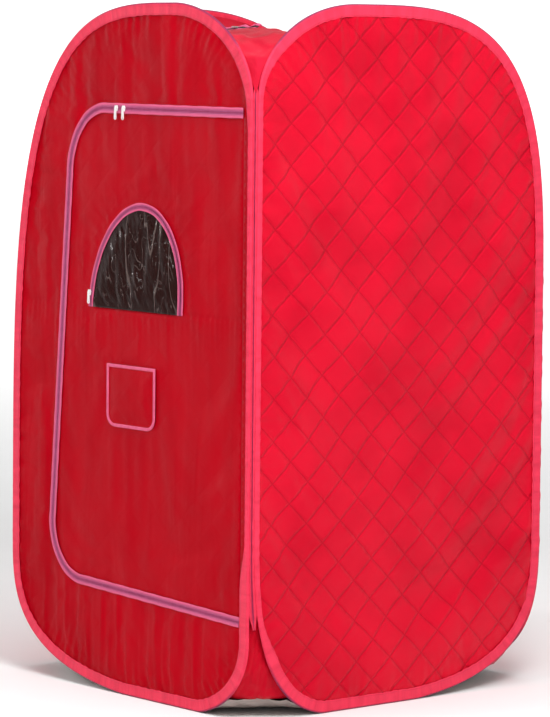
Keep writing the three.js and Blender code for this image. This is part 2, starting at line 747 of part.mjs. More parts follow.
function baseGusset(corner) {
  const geometry = sheetGrid(gussetSteps, gussetSteps);
  const position = geometry.attributes.position;
  const height = corner.foot - gussetFoot + gussetLap;
  const inner = cabinHalf - gussetClear;
  const turn = -corner.x * corner.y;
  for (let n = 0; n < position.count; n++) {
    const s = 0.5 + turn * position.getX(n);
    const z = gussetFoot + (position.getY(n) + 0.5) * height;
    const back = position.getZ(n) < 0 ? gussetThickness : 0;
    const reachX = footReach(corner.alongX, z) + gussetLap;
    const reachY = footReach(corner.alongY, z) + gussetLap;
    const bulge = gussetBulge * 4 * s * (1 - s) * Math.min(reachX, reachY);
    const inX = Math.max(reachX * (1 - s) - bulge, 0) + back;
    const inY = Math.max(reachY * s - bulge, 0) + back;
    position.setXYZ(n, corner.x * (inner - inX), corner.y * (inner - inY), z);
  }
  return geometry;
}

for (const [name, corner] of Object.entries(corners)) {
  model.add(named(`base_gusset_${name}`, baseGusset(corner), redFabric));
}

export default model;
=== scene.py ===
"""Looks for the pop-up steam sauna tent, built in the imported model's frame.

Metres, +Z up, the front wall with the door faces -Y. Each wall is drawn in its own flat
coordinates: u runs along the wall, z is up and depth is measured outwards from the
wall's inner face. UV maps are in metres, so that every material works at its real size.
"""

import math

import bmesh
import bpy
import numpy as np
from mathutils import Matrix, Vector, geometry, kdtree
from mathutils.bvhtree import BVHTree


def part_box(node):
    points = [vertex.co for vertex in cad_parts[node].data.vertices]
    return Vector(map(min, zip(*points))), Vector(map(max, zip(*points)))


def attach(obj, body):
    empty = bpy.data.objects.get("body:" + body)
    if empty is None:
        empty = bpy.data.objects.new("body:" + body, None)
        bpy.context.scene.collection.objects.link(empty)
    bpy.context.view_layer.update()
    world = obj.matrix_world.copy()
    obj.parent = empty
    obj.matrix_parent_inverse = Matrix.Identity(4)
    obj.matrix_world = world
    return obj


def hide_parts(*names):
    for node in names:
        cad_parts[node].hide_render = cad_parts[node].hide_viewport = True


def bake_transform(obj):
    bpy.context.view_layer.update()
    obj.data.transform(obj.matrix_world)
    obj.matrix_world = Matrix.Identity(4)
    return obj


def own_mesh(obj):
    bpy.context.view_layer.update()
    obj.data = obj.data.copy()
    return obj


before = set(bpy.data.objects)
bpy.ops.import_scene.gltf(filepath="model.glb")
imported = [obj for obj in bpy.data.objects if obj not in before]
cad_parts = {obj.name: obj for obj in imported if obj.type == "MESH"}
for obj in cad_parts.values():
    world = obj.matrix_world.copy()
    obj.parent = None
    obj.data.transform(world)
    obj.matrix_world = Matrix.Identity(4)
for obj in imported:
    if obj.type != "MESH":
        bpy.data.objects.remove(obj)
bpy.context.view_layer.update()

# ---------------------------------------------------------------- driving sizes, metres

HALF = 0.5                      # the walls' inner faces stand this far from the middle
RIM_HALF = 0.497
FLOOR_SINK = 0.006              # the rims are cut flat on the floor, this far up their curve
RIM_WIDTH = 0.032
WIRE_BULGE = 0.0125             # the part of a binding's width that the wire fills
ROLLED_WIDTH = 0.0145           # of a binding where it is pulled narrow
ROLLED = {"front": (0.46, 1.56), "right": (0.26, 1.66)}     # heights between which it is narrow
PANEL_INSET = 0.010             # the wall panels' edges lie this far inside the rims
PANEL_DEPTH = 0.0068            # the panels' outer surface
PANEL_THICK = 0.003
THIN_CLOTH = 0.0012
TAPE_DEPTH = 0.0084
TAPE_THICK = 0.0010
TOOTH = 0.0032                  # from one tooth of a zip to the next

DOOR_HINGE = 0.463
DOOR_TOP, DOOR_FOOT = 1.527, 0.252
DOOR_TOP_ARC = ((-0.096, 1.347), (0.150, 0.180))        # centre and radii
DOOR_FOOT_ARC = ((-0.186, 0.430), (0.130, 0.148))
DOOR_CUT = 0.0006               # half the gap round the door
HINGE_CUT = 0.0005              # half the gap beside its hinge
ZIP_WIDTH = 0.013               # of each side of the door's zip

WINDOW_MIDDLE, WINDOW_LEAN = 0.034, 0.027
WINDOW_BASE, WINDOW_FOOT = 1.020, 1.007
WINDOW_HALF, WINDOW_HEIGHT = 0.195, 0.266
WINDOW_HOLE_INSET = 0.022
FILM_INSET = 0.010
POCKET = dict(left=-0.082, right=0.121, bottom=0.700, top=0.864, corner=0.034)
INLET, INLET_HOLE = (-0.250, 0.300), 0.0365

QUILT = (0.112, 0.106)          # width and height of a diamond
QUILT_CORNER = (0.072, 1.293)   # one crossing of the quilting lines
MIDDLE_SEAM = 1.010             # height of the seam across the front wall
CORNERS = {"front_right": (1, -1), "front_left": (-1, -1), "back_right": (1, 1), "back_left": (-1, 1)}

TURN = {"front": 0.0, "right": math.pi / 2, "back": math.pi, "left": -math.pi / 2}

# The curve of each wall's rim: top height, where its top and bottom points lie along the
# wall, and for each quarter its height and the power of its superellipse.
RIMS = {
    "front": dict(
        top=1.800, apex_top=0.187, apex_bottom=0.240,
        top_low=(1.260, 3.2), top_high=(0.239, 1.9),
        bottom_low=(0.364, 2.85), bottom_high=(0.209, 2.06),
    ),
    "right": dict(
        top=1.800, apex_top=-0.173, apex_bottom=-0.170,
        top_low=(0.248, 2.05), top_high=(0.801, 3.37),
        bottom_low=(0.500, 2.8), bottom_high=(0.403, 2.9),
    ),
    "back": dict(
        top=1.760, apex_top=0.100, apex_bottom=0.0,
        top_low=(0.870, 3.1), top_high=(0.165, 2.0),
        bottom_low=(0.400, 2.9), bottom_high=(0.400, 2.9),
    ),
    "left": dict(
        top=1.786, apex_top=-0.100, apex_bottom=0.0,
        top_low=(0.173, 2.0), top_high=(1.220, 3.2),
        bottom_low=(0.400, 2.9), bottom_high=(0.380, 2.85),
    ),
}

# ---------------------------------------------------------------- outlines


def place(wall, u, depth, z):
    """Points given in a wall's own coordinates, in the model's frame."""
    turn = TURN[wall]
    out = -(HALF + np.asarray(depth, float))
    u = np.asarray(u, float)
    x = math.cos(turn) * u - math.sin(turn) * out
    y = math.sin(turn) * u + math.cos(turn) * out
    return np.stack(np.broadcast_arrays(x, y, z), axis=-1)


def quarter(half_width, height, power):
    """A quarter of a superellipse, from its side point up to its top point."""
    angle = np.linspace(0, math.pi / 2, 37)
    across = half_width * np.clip(np.cos(angle), 0, 1) ** (2 / power)
    up = height * np.clip(np.sin(angle), 0, 1) ** (2 / power)
    return np.stack([across, up], axis=1)


def rim_outline(wall):
    """The rim's outer edge, anticlockwise as seen from outside, evenly spaced."""
    rim = RIMS[wall]
    loop = []
    for part, side in (("top_high", 1), ("top_low", -1)):
        height, power = rim[part]
        points = quarter(RIM_HALF - side * rim["apex_top"], height, power)
        points = points if side > 0 else points[::-1]
        loop += [(rim["apex_top"] + side * x, rim["top"] - height + z) for x, z in points]
    for part, side in (("bottom_low", -1), ("bottom_high", 1)):
        height, power = rim[part]
        points = quarter(RIM_HALF - side * rim["apex_bottom"], height, power)
        points = points if side < 0 else points[::-1]
        foot = height - FLOOR_SINK
        loop += [(rim["apex_bottom"] + side * x, max(foot - z, 0)) for x, z in points]
    return even(np.array(loop), 0.008, closed=True)


def rim_width(wall, path):
    """The binding's width at each point of the rim. It is rolled narrow along the near
    corner, where the two walls pull on it."""
    width = np.full(len(path), RIM_WIDTH)
    if wall in ("front", "right"):
        side = 1 if wall == "front" else -1
        bottom, top = ROLLED[wall]
        rolled = smoothstep(side * path[:, 0], 0.36, 0.47) * smoothstep(path[:, 1], top + 0.1, top - 0.1)
        rolled *= smoothstep(path[:, 1], bottom - 0.12, bottom)
        width = RIM_WIDTH + (ROLLED_WIDTH - RIM_WIDTH) * rolled
    return width


def binding_edge(wall):
    """The line just under the inner edge of a rim's binding."""
    path = rim_outline(wall)
    return path - (rim_width(wall, path) - 0.003)[:, None] * normals_of(path, True)


def even(points, step, closed=False):
    """The same line with its points step apart."""
    if closed:
        points = np.vstack([points, points[:1]])
    lengths = np.linalg.norm(np.diff(points, axis=0), axis=1)
    keep = np.concatenate([[True], lengths > 1e-7])
    points = points[keep]
    along = np.concatenate([[0], np.cumsum(np.linalg.norm(np.diff(points, axis=0), axis=1))])
    count = max(int(round(along[-1] / step)), 2)
    at = np.linspace(0, along[-1], count + 1)
    if closed:
        at = at[:-1]
    return np.stack([np.interp(at, along, points[:, k]) for k in range(2)], axis=1)


def normals_of(path, closed):
    """Unit vectors to the right of the way along a path, which is outwards on a loop."""
    if closed:
        ahead = np.roll(path, -1, axis=0) - np.roll(path, 1, axis=0)
    else:
        ahead = np.gradient(path, axis=0)
    ahead = ahead / np.linalg.norm(ahead, axis=1)[:, None]
    return np.stack([ahead[:, 1], -ahead[:, 0]], axis=1)


def offset(path, distance, closed=False):
    return path + distance * normals_of(path, closed)


def arc(centre, radii, start, end, steps=24):
    angle = np.linspace(math.radians(start), math.radians(end), steps + 1)
    return np.stack(
        [centre[0] + radii[0] * np.cos(angle), centre[1] + radii[1] * np.sin(angle)], axis=1
    )


def door_line():
    """The cut round the door: along its top from the hinge, down its free edge and back."""
    points = np.vstack([
        [(DOOR_HINGE, DOOR_TOP)],
        arc(*DOOR_TOP_ARC, 90, 180),
        arc(*DOOR_FOOT_ARC, 180, 270),
        [(DOOR_HINGE, DOOR_FOOT)],
    ])
    return even(points, 0.006)


def window_line(grow=0.0):
    """The window's arch, from the right end of its base over to the left end."""
    angle = np.linspace(0, math.pi, 73)
    u = WINDOW_MIDDLE + WINDOW_LEAN * np.sin(angle) + (WINDOW_HALF + grow) * np.cos(angle)
    z = WINDOW_BASE + (WINDOW_HEIGHT + grow) * np.sin(angle)
    arch = np.stack([u, z], axis=1)
    return np.vstack([(arch[0, 0], WINDOW_FOOT), arch, (arch[-1, 0], WINDOW_FOOT)])


def pocket_line(inset=0.0):
    """The pocket's edge: across its top, down, round its two lower corners and up."""
    left, right, bottom, top, radius = POCKET.values()
    turn = radius - inset
    return np.vstack([
        [(right - inset, top - inset), (left + inset, top - inset)],
        arc((left + radius, bottom + radius), (turn, turn), 180, 270, 8),
        arc((right - radius, bottom + radius), (turn, turn), 270, 360, 8),
    ])


# ---------------------------------------------------------------- mesh making


def loop_points(mesh):
    """The index of the point at each face corner."""
    index = np.zeros(len(mesh.loops), np.int32)
    mesh.loops.foreach_get("vertex_index", index)
    return index


def map_metres(mesh, flat):
    """Smooth shading, and a UV map in metres from each point's place on the flat cloth."""
    layer = mesh.uv_layers.new(name="metres")
    layer.data.foreach_set("uv", np.asarray(flat, np.float32)[loop_points(mesh)].ravel())
    mesh.polygons.foreach_set("use_smooth", [True] * len(mesh.polygons))


def new_object(name, points, faces, flat):
    mesh = bpy.data.meshes.new(name)
    mesh.from_pydata(np.asarray(points, float).tolist(), [], [tuple(f) for f in faces])
    map_metres(mesh, flat)
    mesh.update()
    piece = bpy.data.objects.new(name, mesh)
    bpy.context.scene.collection.objects.link(piece)
    return piece


def face_outwards(piece):
    work = bmesh.new()
    work.from_mesh(piece.data)
    bmesh.ops.recalc_face_normals(work, faces=work.faces)
    work.to_mesh(piece.data)
    work.free()


def solidify(piece, thickness):
    """Gives a sheet its thickness, inwards from the surface that shows."""
    modifier = piece.modifiers.new("thickness", "SOLIDIFY")
    modifier.thickness = thickness
    modifier.offset = -1
    return piece


def inside(points, loop):
    """Which of the points are inside a closed loop."""
    found = np.zeros(len(points), bool)
    x, y = points[:, 0], points[:, 1]
    for (x1, y1), (x2, y2) in zip(loop, np.roll(loop, -1, axis=0)):
        if y1 == y2:
            continue
        crosses = (y1 > y) != (y2 > y)
        found ^= crosses & (x < (x2 - x1) * (y - y1) / (y2 - y1) + x1)
    return found


def tree_of(points):
    tree = kdtree.KDTree(len(points))
    for i, p in enumerate(points):
        tree.insert((p[0], p[1], 0), i)
    tree.balance()
    return tree


def nearest(tree, points):
    """For each point, the distance to the tree's nearest point and that point's index."""
    found = [tree.find((p[0], p[1], 0)) for p in points]
    return np.array([f[2] for f in found]), np.array([f[1] for f in found])


def fill(loop, holes, spacing):
    """Points and triangles that fill a loop with an even net, leaving the holes open."""
    rims = [even(np.asarray(line), spacing, closed=True) for line in [loop, *holes]]
    edge = np.vstack(rims)
    low, high = edge.min(0), edge.max(0)
    rows = np.arange(low[1], high[1], spacing * 0.9)
    columns = np.arange(low[0], high[0], spacing)
    u, z = np.meshgrid(columns, rows)
    u[1::2] += spacing / 2
    net = np.stack([u.ravel(), z.ravel()], axis=1)
    keep = inside(net, rims[0])
    for hole in rims[1:]:
        keep &= ~inside(net, hole)
    net = net[keep]
    gap, _ = nearest(tree_of(edge), net)
    net = net[gap > spacing * 0.6]
    points = np.vstack([edge, net])
    edges, start = [], 0
    for rim in rims:
        ids = np.arange(start, start + len(rim))
        edges += list(zip(ids.tolist(), np.roll(ids, -1).tolist()))
        start += len(rim)
    made = geometry.delaunay_2d_cdt([Vector(p) for p in points], edges, [], 0, 1e-6)
    points = np.array([tuple(v) for v in made[0]])
    triangles = np.array(made[2], int)
    middle = points[triangles].mean(axis=1)
    keep = inside(middle, rims[0])
    for hole in rims[1:]:
        keep &= ~inside(middle, hole)
    triangles = triangles[keep]
    a, b, c = (points[triangles[:, i]] for i in range(3))
    flip = np.cross(b - a, c - a) < 0
    triangles[flip] = triangles[flip][:, ::-1]
    used, triangles = np.unique(triangles, return_inverse=True)
    return points[used], triangles.reshape(-1, 3)


def tube_faces(rows, ring, closed=False):
    """The faces of a tube: rows of points, ring points in each, its ends shut or joined."""
    faces = []
    for i in range(rows if closed else rows - 1):
        for k in range(ring):
            i2, k2 = (i + 1) % rows, (k + 1) % ring
            faces.append((i * ring + k, i2 * ring + k, i2 * ring + k2, i * ring + k2))
    if not closed:
        faces.append(tuple(range(ring)))
        faces.append(tuple((rows - 1) * ring + k for k in reversed(range(ring))))
    return faces


def sweep(name, wall, path, profile, closed=False, wobble=None):
    """A solid strip that follows a path on a wall. The profile's points are distances
    outwards from the path, and depths. wobble returns what to add to both, from the
    distance along the path and the profile."""
    profile = np.asarray(profile, float)
    normals = normals_of(path, closed)
    steps = np.linalg.norm(np.diff(path, axis=0), axis=1)
    along = np.concatenate([[0], np.cumsum(steps)])
    across = np.concatenate([[0], np.cumsum(np.linalg.norm(np.diff(profile, axis=0), axis=1))])
    out = np.broadcast_to(profile[:, 0], (len(path), len(profile))).copy()
    depth = np.broadcast_to(profile[:, 1], (len(path), len(profile))).copy()
    if wobble:
        more_out, more_depth = wobble(along[:, None], profile[None, :, 0], profile[None, :, 1])
        out += more_out
        depth += more_depth
    flat = path[:, None, :] + out[..., None] * normals[:, None, :]
    points = place(wall, flat[..., 0], depth, flat[..., 1]).reshape(-1, 3)
    uv = np.stack(np.broadcast_arrays(along[:, None], across[None, :]), axis=-1).reshape(-1, 2)
    piece = new_object(name, points, tube_faces(len(path), len(profile), closed), uv)
    face_outwards(piece)
    return piece


def smoothstep(x, low, high):
    """0 at low rising to 1 at high; it falls instead where low is above high."""
    t = np.clip((x - low) / (high - low), 0, 1)
    return t * t * (3 - 2 * t)


def ripples(points, seed, wavelength, direction=0.0, spread=math.pi):
    """A smooth random height from -1 to 1: waves of mixed directions and phases."""
    random = np.random.default_rng(seed)
    count = 7
    total = np.zeros(len(points))
    for _ in range(count):
        heading = random.uniform(-spread, spread) / 2 + direction
        length = wavelength * random.uniform(0.6, 1.6)
        phase = random.uniform(0, 2 * math.pi)
        way = points[:, 0] * math.cos(heading) + points[:, 1] * math.sin(heading)
        total += np.sin(2 * math.pi * way / length + phase)
    return total / count * 1.6


# ---------------------------------------------------------------- materials


class Nodes:
    """Short names for making a material's nodes."""

    def __init__(self, name):
        self.material = bpy.data.materials.new(name)
        self.material.use_nodes = True
        self.tree = self.material.node_tree
        self.shader = self.tree.nodes["Principled BSDF"]

    def add(self, kind, **settings):
        node = self.tree.nodes.new(kind)
        for key, value in settings.items():
            setattr(node, key, value)
        return node

    def put(self, socket, value):
        if isinstance(value, bpy.types.NodeSocket):
            self.tree.links.new(value, socket)
        elif isinstance(value, tuple) and len(value) == 3 and socket.type == "RGBA":
            socket.default_value = (*value, 1)
        else:
            socket.default_value = value

    def math(self, operation, *values):
        node = self.add("ShaderNodeMath", operation=operation)
        for socket, value in zip(node.inputs, values):
            self.put(socket, value)
        return node.outputs[0]

    def uv(self):
        return self.add("ShaderNodeUVMap", uv_map="metres").outputs[0]

    def place(self):
        return self.add("ShaderNodeTexCoord").outputs["Object"]

    def split(self, vector):
        node = self.add("ShaderNodeSeparateXYZ")
        self.put(node.inputs[0], vector)
        return node.outputs

    def stretch(self, vector, scale):
        node = self.add("ShaderNodeMapping")
        self.put(node.inputs["Vector"], vector)
        node.inputs["Scale"].default_value = scale
        return node.outputs[0]

    def noise(self, vector, scale, detail=4.0, roughness=0.55, distortion=0.0):
        node = self.add("ShaderNodeTexNoise")
        self.put(node.inputs["Vector"], vector)
        node.inputs["Scale"].default_value = scale
        node.inputs["Detail"].default_value = detail
        node.inputs["Roughness"].default_value = roughness
        node.inputs["Distortion"].default_value = distortion
        return node.outputs["Fac"]

    def span(self, value, low, high, to_low=0.0, to_high=1.0, smooth=False):
        node = self.add("ShaderNodeMapRange", interpolation_type="SMOOTHSTEP" if smooth else "LINEAR")
        for socket, v in zip(node.inputs, (value, low, high, to_low, to_high)):
            self.put(socket, v)
        return node.outputs[0]

    def blend(self, share, a, b):
        node = self.add("ShaderNodeMix", data_type="RGBA")
        self.put(node.inputs[0], share)
        self.put(node.inputs[6], a)
        self.put(node.inputs[7], b)
        return node.outputs[2]

    def bump(self, height, distance, strength, normal=None):
        node = self.add("ShaderNodeBump")
        self.put(node.inputs["Height"], height)
        node.inputs["Distance"].default_value = distance
        node.inputs["Strength"].default_value = strength
        if normal:
            self.put(node.inputs["Normal"], normal)
        return node.outputs[0]

    def set(self, **values):
        for key, value in values.items():
            self.put(self.shader.inputs[key.replace("_", " ")], value)
        return self.material


def quilt_lines(n, u, z):
    """How near a point is to a quilting line: 0 on the line and 0.5 in a diamond's middle."""
    width, height = QUILT
    across = n.math("DIVIDE", n.math("SUBTRACT", u, QUILT_CORNER[0]), width)
    up = n.math("DIVIDE", n.math("SUBTRACT", z, QUILT_CORNER[1]), height)
    near = []
    for operation in ("ADD", "SUBTRACT"):
        fraction = n.math("FRACT", n.math(operation, across, up))
        near.append(n.math("SUBTRACT", 0.5, n.math("ABSOLUTE", n.math("SUBTRACT", fraction, 0.5))))
    return n.math("MINIMUM", *near)


def weave(n, u, v, pitch):
    """The height of a plain weave: crossing threads, over and under in turn."""
    def thread(coordinate, other):
        way = n.math("MULTIPLY", coordinate, math.pi / pitch)
        crossing = n.math("MULTIPLY", other, math.pi / pitch)
        return n.math("MULTIPLY", n.math("ABSOLUTE", n.math("SINE", way)), n.math("SINE", crossing))
    return n.math("ADD", thread(u, v), thread(v, u))


def fabric(name, color, deep, roughness, crease, quilt=0.0, streak=(16, 5), gloss=0.5):
    """Dyed polyester satin: a fine weave, soft creases and, if quilted, sewn lines, whose furrows are
    painted darker as shade.
    """
    n = Nodes(name)
    uv = n.uv()
    u, v, _ = n.split(uv)
    wide = n.noise(uv, 2.2, detail=3)
    fine = n.noise(uv, 420, detail=2)
    creases = n.noise(n.stretch(uv, (*streak, 1)), 1.0, detail=2.5, roughness=0.5, distortion=0.5)
    shade = n.math("ADD", n.math("MULTIPLY", wide, 0.6), n.math("MULTIPLY", creases, 0.4))
    tone = n.blend(n.span(shade, 0.38, 0.66, smooth=True), color, deep)
    tone = n.blend(n.math("MULTIPLY", n.span(fine, 0.45, 0.75), 0.10), tone, deep)
    normal = n.bump(creases, 0.009, crease)
    if quilt:
        drift = n.noise(uv, 7.0, detail=2)
        drifted_u = n.math("MULTIPLY_ADD", drift, 0.012, u)
        drifted_v = n.math("MULTIPLY_ADD", drift, 0.006, v)
        near = quilt_lines(n, drifted_u, drifted_v)
        furrow = n.span(near, 0.0, 0.09, smooth=True)
        stitch = n.math("FRACT", n.math("DIVIDE", n.math("ADD", u, v), 0.0048))
        stitch = n.math("MULTIPLY", n.span(stitch, 0.2, 0.35), n.span(near, 0.012, 0.006))
        # Painted shade: the band along each quilting line is darkened, as the shade in its furrow.
        dark = n.math("MULTIPLY", n.span(near, 0.030, 0.004, smooth=True), 0.42 * quilt)
        tone = n.blend(dark, tone, tuple(c * 0.5 for c in deep))
        puckers = n.math("MULTIPLY", n.noise(uv, 60, detail=2, distortion=0.6), n.span(near, 0.26, 0.02))
        height = n.math("ADD", furrow, n.math("MULTIPLY", stitch, 0.2))
        height = n.math("ADD", height, n.math("MULTIPLY", puckers, 1.1))
        normal = n.bump(height, 0.0030, quilt, normal)
    normal = n.bump(weave(n, u, v, 0.0007), 0.00012, 0.5, normal)
    rough = n.span(n.noise(uv, 18, detail=4), 0.3, 0.7, roughness - 0.05, roughness + 0.07)
    n.put(n.shader.inputs["Normal"], normal)
    return n.set(Base_Color=tone, Roughness=rough, Specular_IOR_Level=gloss,
                 Specular_Tint=(1.0, 0.05, 0.12))


def binding(name, color, deep, edge):
    """Rim binding: ribbed across, painted darker at its outer fold as shade, with a row of stitches."""
    n = Nodes(name)
    uv = n.uv()
    u, v, _ = n.split(uv)
    puckers = n.noise(n.stretch(uv, (42, 7, 1)), 1.0, detail=4, distortion=0.4)
    tone = n.blend(n.span(puckers, 0.35, 0.75), color, deep)
    rib = n.math("SINE", n.math("MULTIPLY", u, 2 * math.pi / 0.0011))
    normal = n.bump(puckers, 0.0045, 0.5)
    row = n.math("ABSOLUTE", n.math("SUBTRACT", v, 0.0045))
    dash = n.math("FRACT", n.math("DIVIDE", u, 0.0042))
    stitch = n.math("MULTIPLY", n.span(row, 0.0011, 0.0005), n.span(dash, 0.2, 0.3))
    tone = n.blend(n.math("MULTIPLY", stitch, 0.5), tone, deep)
    # The outer attribute marks where shade is painted: a rim binding's outer fold and the groove down a
    # corner strip's middle.
    outer = n.add("ShaderNodeAttribute", attribute_name="outer", attribute_type="GEOMETRY").outputs["Fac"]
    tone = n.blend(outer, tone, edge)
    normal = n.bump(stitch, 0.0009, 0.8, normal)
    normal = n.bump(rib, 0.00014, 0.5, normal)
    n.put(n.shader.inputs["Normal"], normal)
    return n.set(Base_Color=tone, Roughness=0.5, Specular_IOR_Level=0.35,
                 Specular_Tint=(1.0, 0.35, 0.42))


def tape(name, color, deep, edge=None):
    """Woven zip tape, with a herringbone across it and a paler border."""
    n = Nodes(name)
    uv = n.uv()
    u, v, _ = n.split(uv)
    slant = n.math("ADD", u, n.math("PINGPONG", v, 0.002))
    bones = n.math("SINE", n.math("MULTIPLY", slant, 2 * math.pi / 0.0014))
    wear = n.noise(uv, 60, detail=5)
    tone = n.blend(n.span(wear, 0.35, 0.75), color, deep)
    if edge:
        border = n.add("ShaderNodeAttribute", attribute_name="border", attribute_type="GEOMETRY")
        tone = n.blend(border.outputs["Fac"], tone, edge)
    tone = n.blend(n.math("MULTIPLY", n.span(bones, 0.0, 1.0), 0.18), tone, deep)
    n.put(n.shader.inputs["Normal"], n.bump(bones, 0.0003, 0.7, n.bump(wear, 0.001, 0.4)))
    return n.set(Base_Color=tone, Roughness=0.6, Specular_IOR_Level=0.3)


def hard(name, color, deep, roughness, metallic=0.0, coat=0.0, bump=0.0002):
    """A hard surface with fine grain, uneven gloss and uneven tone."""
    n = Nodes(name)
    where = n.place()
    fine = n.noise(where, 250, detail=4)
    wide = n.noise(where, 14, detail=5)
    tone = n.blend(n.span(wide, 0.35, 0.75), color, deep)
    rough = n.span(fine, 0.3, 0.75, roughness * 0.75, roughness * 1.35)
    n.put(n.shader.inputs["Normal"], n.bump(fine, bump, 0.6))
    return n.set(Base_Color=tone, Roughness=rough, Metallic=metallic, Coat_Weight=coat,
                 Coat_Roughness=0.15)


def clear_film(name):
    """Clear PVC film over a dark inside: smooth, with sharp creases that catch the light. Its nearly opaque
    dark colour is painted shade of the inside seen through it, and its creases are painted paler as
    highlights.
    """
    n = Nodes(name)
    uv = n.uv()
    lines = []
    for scale, warp, width in (((13, 1.6, 1), 0.6, 0.009), ((17, 8, 1), 2.2, 0.014)):
        cloud = n.noise(n.stretch(uv, scale), 1.0, detail=1.5, roughness=0.4, distortion=warp)
        ridge = n.math("ABSOLUTE", n.math("SUBTRACT", cloud, 0.5))
        lines.append(n.span(ridge, width, 0.0, smooth=True))
    patch = n.span(n.noise(uv, 12.0, detail=1), 0.44, 0.56, smooth=True)
    lines[1] = n.math("MULTIPLY", lines[1], patch)
    broad = n.noise(n.stretch(uv, (14, 4, 1)), 1.0, detail=1)
    normal = n.bump(broad, 0.007, 0.7)
    for line in lines:
        normal = n.bump(line, 0.0012, 0.9, normal)
    n.put(n.shader.inputs["Normal"], normal)
    # Painted highlights: the film is paler along its creases.
    crease_highlight = n.math("MULTIPLY", n.math("MAXIMUM", *lines), 0.34)
    tone = n.blend(crease_highlight, (0.022, 0.006, 0.005), (0.30, 0.24, 0.22))
    return n.set(Base_Color=tone, Roughness=0.06, Alpha=0.88, Specular_IOR_Level=0.09)


RED = (0.44, 0.0008, 0.0085)
DEEP_RED = (0.37, 0.0004, 0.0065)
BRIGHT_RED = (0.66, 0.006, 0.026)
QUILT_DEEP = (0.52, 0.003, 0.018)
RIM_RED = (0.84, 0.040, 0.095)
MAUVE = (0.56, 0.095, 0.235)
PALE_PINK = (0.80, 0.115, 0.25)

paint = {
    "front": fabric(
        "front_fabric", RED, DEEP_RED, 0.40, quilt=0.10, crease=0.6, streak=(13, 2), gloss=0.06,
    ),
    "quilted": fabric(
        "quilted_fabric", BRIGHT_RED, QUILT_DEEP, 0.38, quilt=0.9, crease=0.3, streak=(5, 8), gloss=0.25,
    ),
    "roof": fabric(
        "roof_fabric", (0.52, 0.009, 0.030), (0.38, 0.004, 0.018), 0.45, crease=0.9, streak=(9, 9),
    ),
    "gusset": fabric(
        "gusset_fabric", (0.52, 0.003, 0.016), (0.40, 0.001, 0.009), 0.36, crease=1.0, streak=(12, 9),
    ),
    "floor": fabric(
        "floor_fabric", (0.42, 0.36, 0.33), (0.28, 0.24, 0.22), 0.7, crease=0.8, gloss=0.2,
    ),
    # Its last colour is the painted shade on the outer folds and corner grooves.
    "rim": binding("rim_fabric", RIM_RED, (0.66, 0.024, 0.062), (0.16, 0.020, 0.07)),
    "tape": tape("zip_tape", MAUVE, (0.46, 0.07, 0.18), edge=PALE_PINK),
    "coil": tape("zip_coil", (0.46, 0.075, 0.20), (0.36, 0.05, 0.14)),
    "slider_grey": hard("grey_enamel", (0.36, 0.34, 0.33), (0.24, 0.22, 0.21), 0.35, coat=0.3),
    "dark_coil": tape("roof_zip_coil", (0.055, 0.022, 0.025), (0.03, 0.012, 0.014)),
    "trim": tape("pocket_trim", (0.86, 0.14, 0.28), (0.72, 0.09, 0.19)),
    "film": clear_film("clear_vinyl"),
    "enamel": hard("white_enamel", (0.86, 0.84, 0.83), (0.70, 0.68, 0.66), 0.28, coat=0.5),
    "steel": hard("spring_steel", (0.32, 0.33, 0.35), (0.2, 0.2, 0.22), 0.35, metallic=1.0),
    "rubber": hard("inlet_rubber", (0.03, 0.03, 0.032), (0.018, 0.018, 0.02), 0.6, bump=0.0005),
}


def finish_piece(piece, material, body, *nodes, slot=None):
    """Gives a piece its material, body and the CAD nodes it replaces. The slot is not used."""
    piece.data.materials.clear()
    piece.data.materials.append(material)
    if body:
        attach(piece, body)
    if nodes:
        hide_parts(*nodes)
    return piece


# ---------------------------------------------------------------- soft sheets

SPACING = 0.015                 # of a panel's net while it is simulated; halved afterwards


def apply_modifiers(piece):
    graph = bpy.context.evaluated_depsgraph_get()
    mesh = bpy.data.meshes.new_from_object(piece.evaluated_get(graph))
    piece.modifiers.clear()
    piece.data = mesh


def points_of(piece):
    return np.array([v.co for v in piece.data.vertices], float).reshape(-1, 3)


def move_points(piece, points):
    piece.data.vertices.foreach_set("co", np.asarray(points, np.float32).ravel())
    piece.data.update()


def flat_of(piece):
    """Each point's place on the flat cloth, in metres, from the UV map."""
    index = loop_points(piece.data)
    uv = np.zeros(len(index) * 2, np.float32)
    piece.data.uv_layers["metres"].data.foreach_get("uv", uv)
    flat = np.zeros((len(piece.data.vertices), 2))
    flat[index] = uv.reshape(-1, 2)
    return flat


def settle(piece, held, slack, reach, weight=0.4):
    """Cloth simulation. The cloth is cut larger than its frame by the share slack, so that
    it buckles and hangs. held is 1 where it is sewn down. No point moves beyond reach."""
    frames = 16
    before = points_of(piece)
    sewn = piece.vertex_groups.new(name="sewn")
    for i in np.nonzero(held > 0.01)[0]:
        sewn.add([int(i)], float(held[i]), "REPLACE")
    modifier = piece.modifiers.new("cloth", "CLOTH")
    cloth = modifier.settings
    cloth.quality = 4
    cloth.mass = 0.1
    cloth.tension_stiffness = cloth.compression_stiffness = 20
    cloth.shear_stiffness = 8
    cloth.bending_stiffness = 0.15
    cloth.vertex_group_mass = sewn.name
    cloth.shrink_min = -slack
    cloth.effector_weights.gravity = weight
    modifier.point_cache.frame_start = 1
    modifier.point_cache.frame_end = frames
    for step in range(1, frames + 1):
        bpy.context.scene.frame_set(step)
    apply_modifiers(piece)
    bpy.context.scene.frame_set(1)
    move = points_of(piece) - before
    length = np.linalg.norm(move, axis=1)[:, None] + 1e-9
    move_points(piece, before + move * reach * np.tanh(length / reach) / length)


def subdivide(piece, levels=1):
    modifier = piece.modifiers.new("fine", "SUBSURF")
    modifier.levels = modifier.render_levels = levels
    modifier.boundary_smooth = "PRESERVE_CORNERS"
    apply_modifiers(piece)


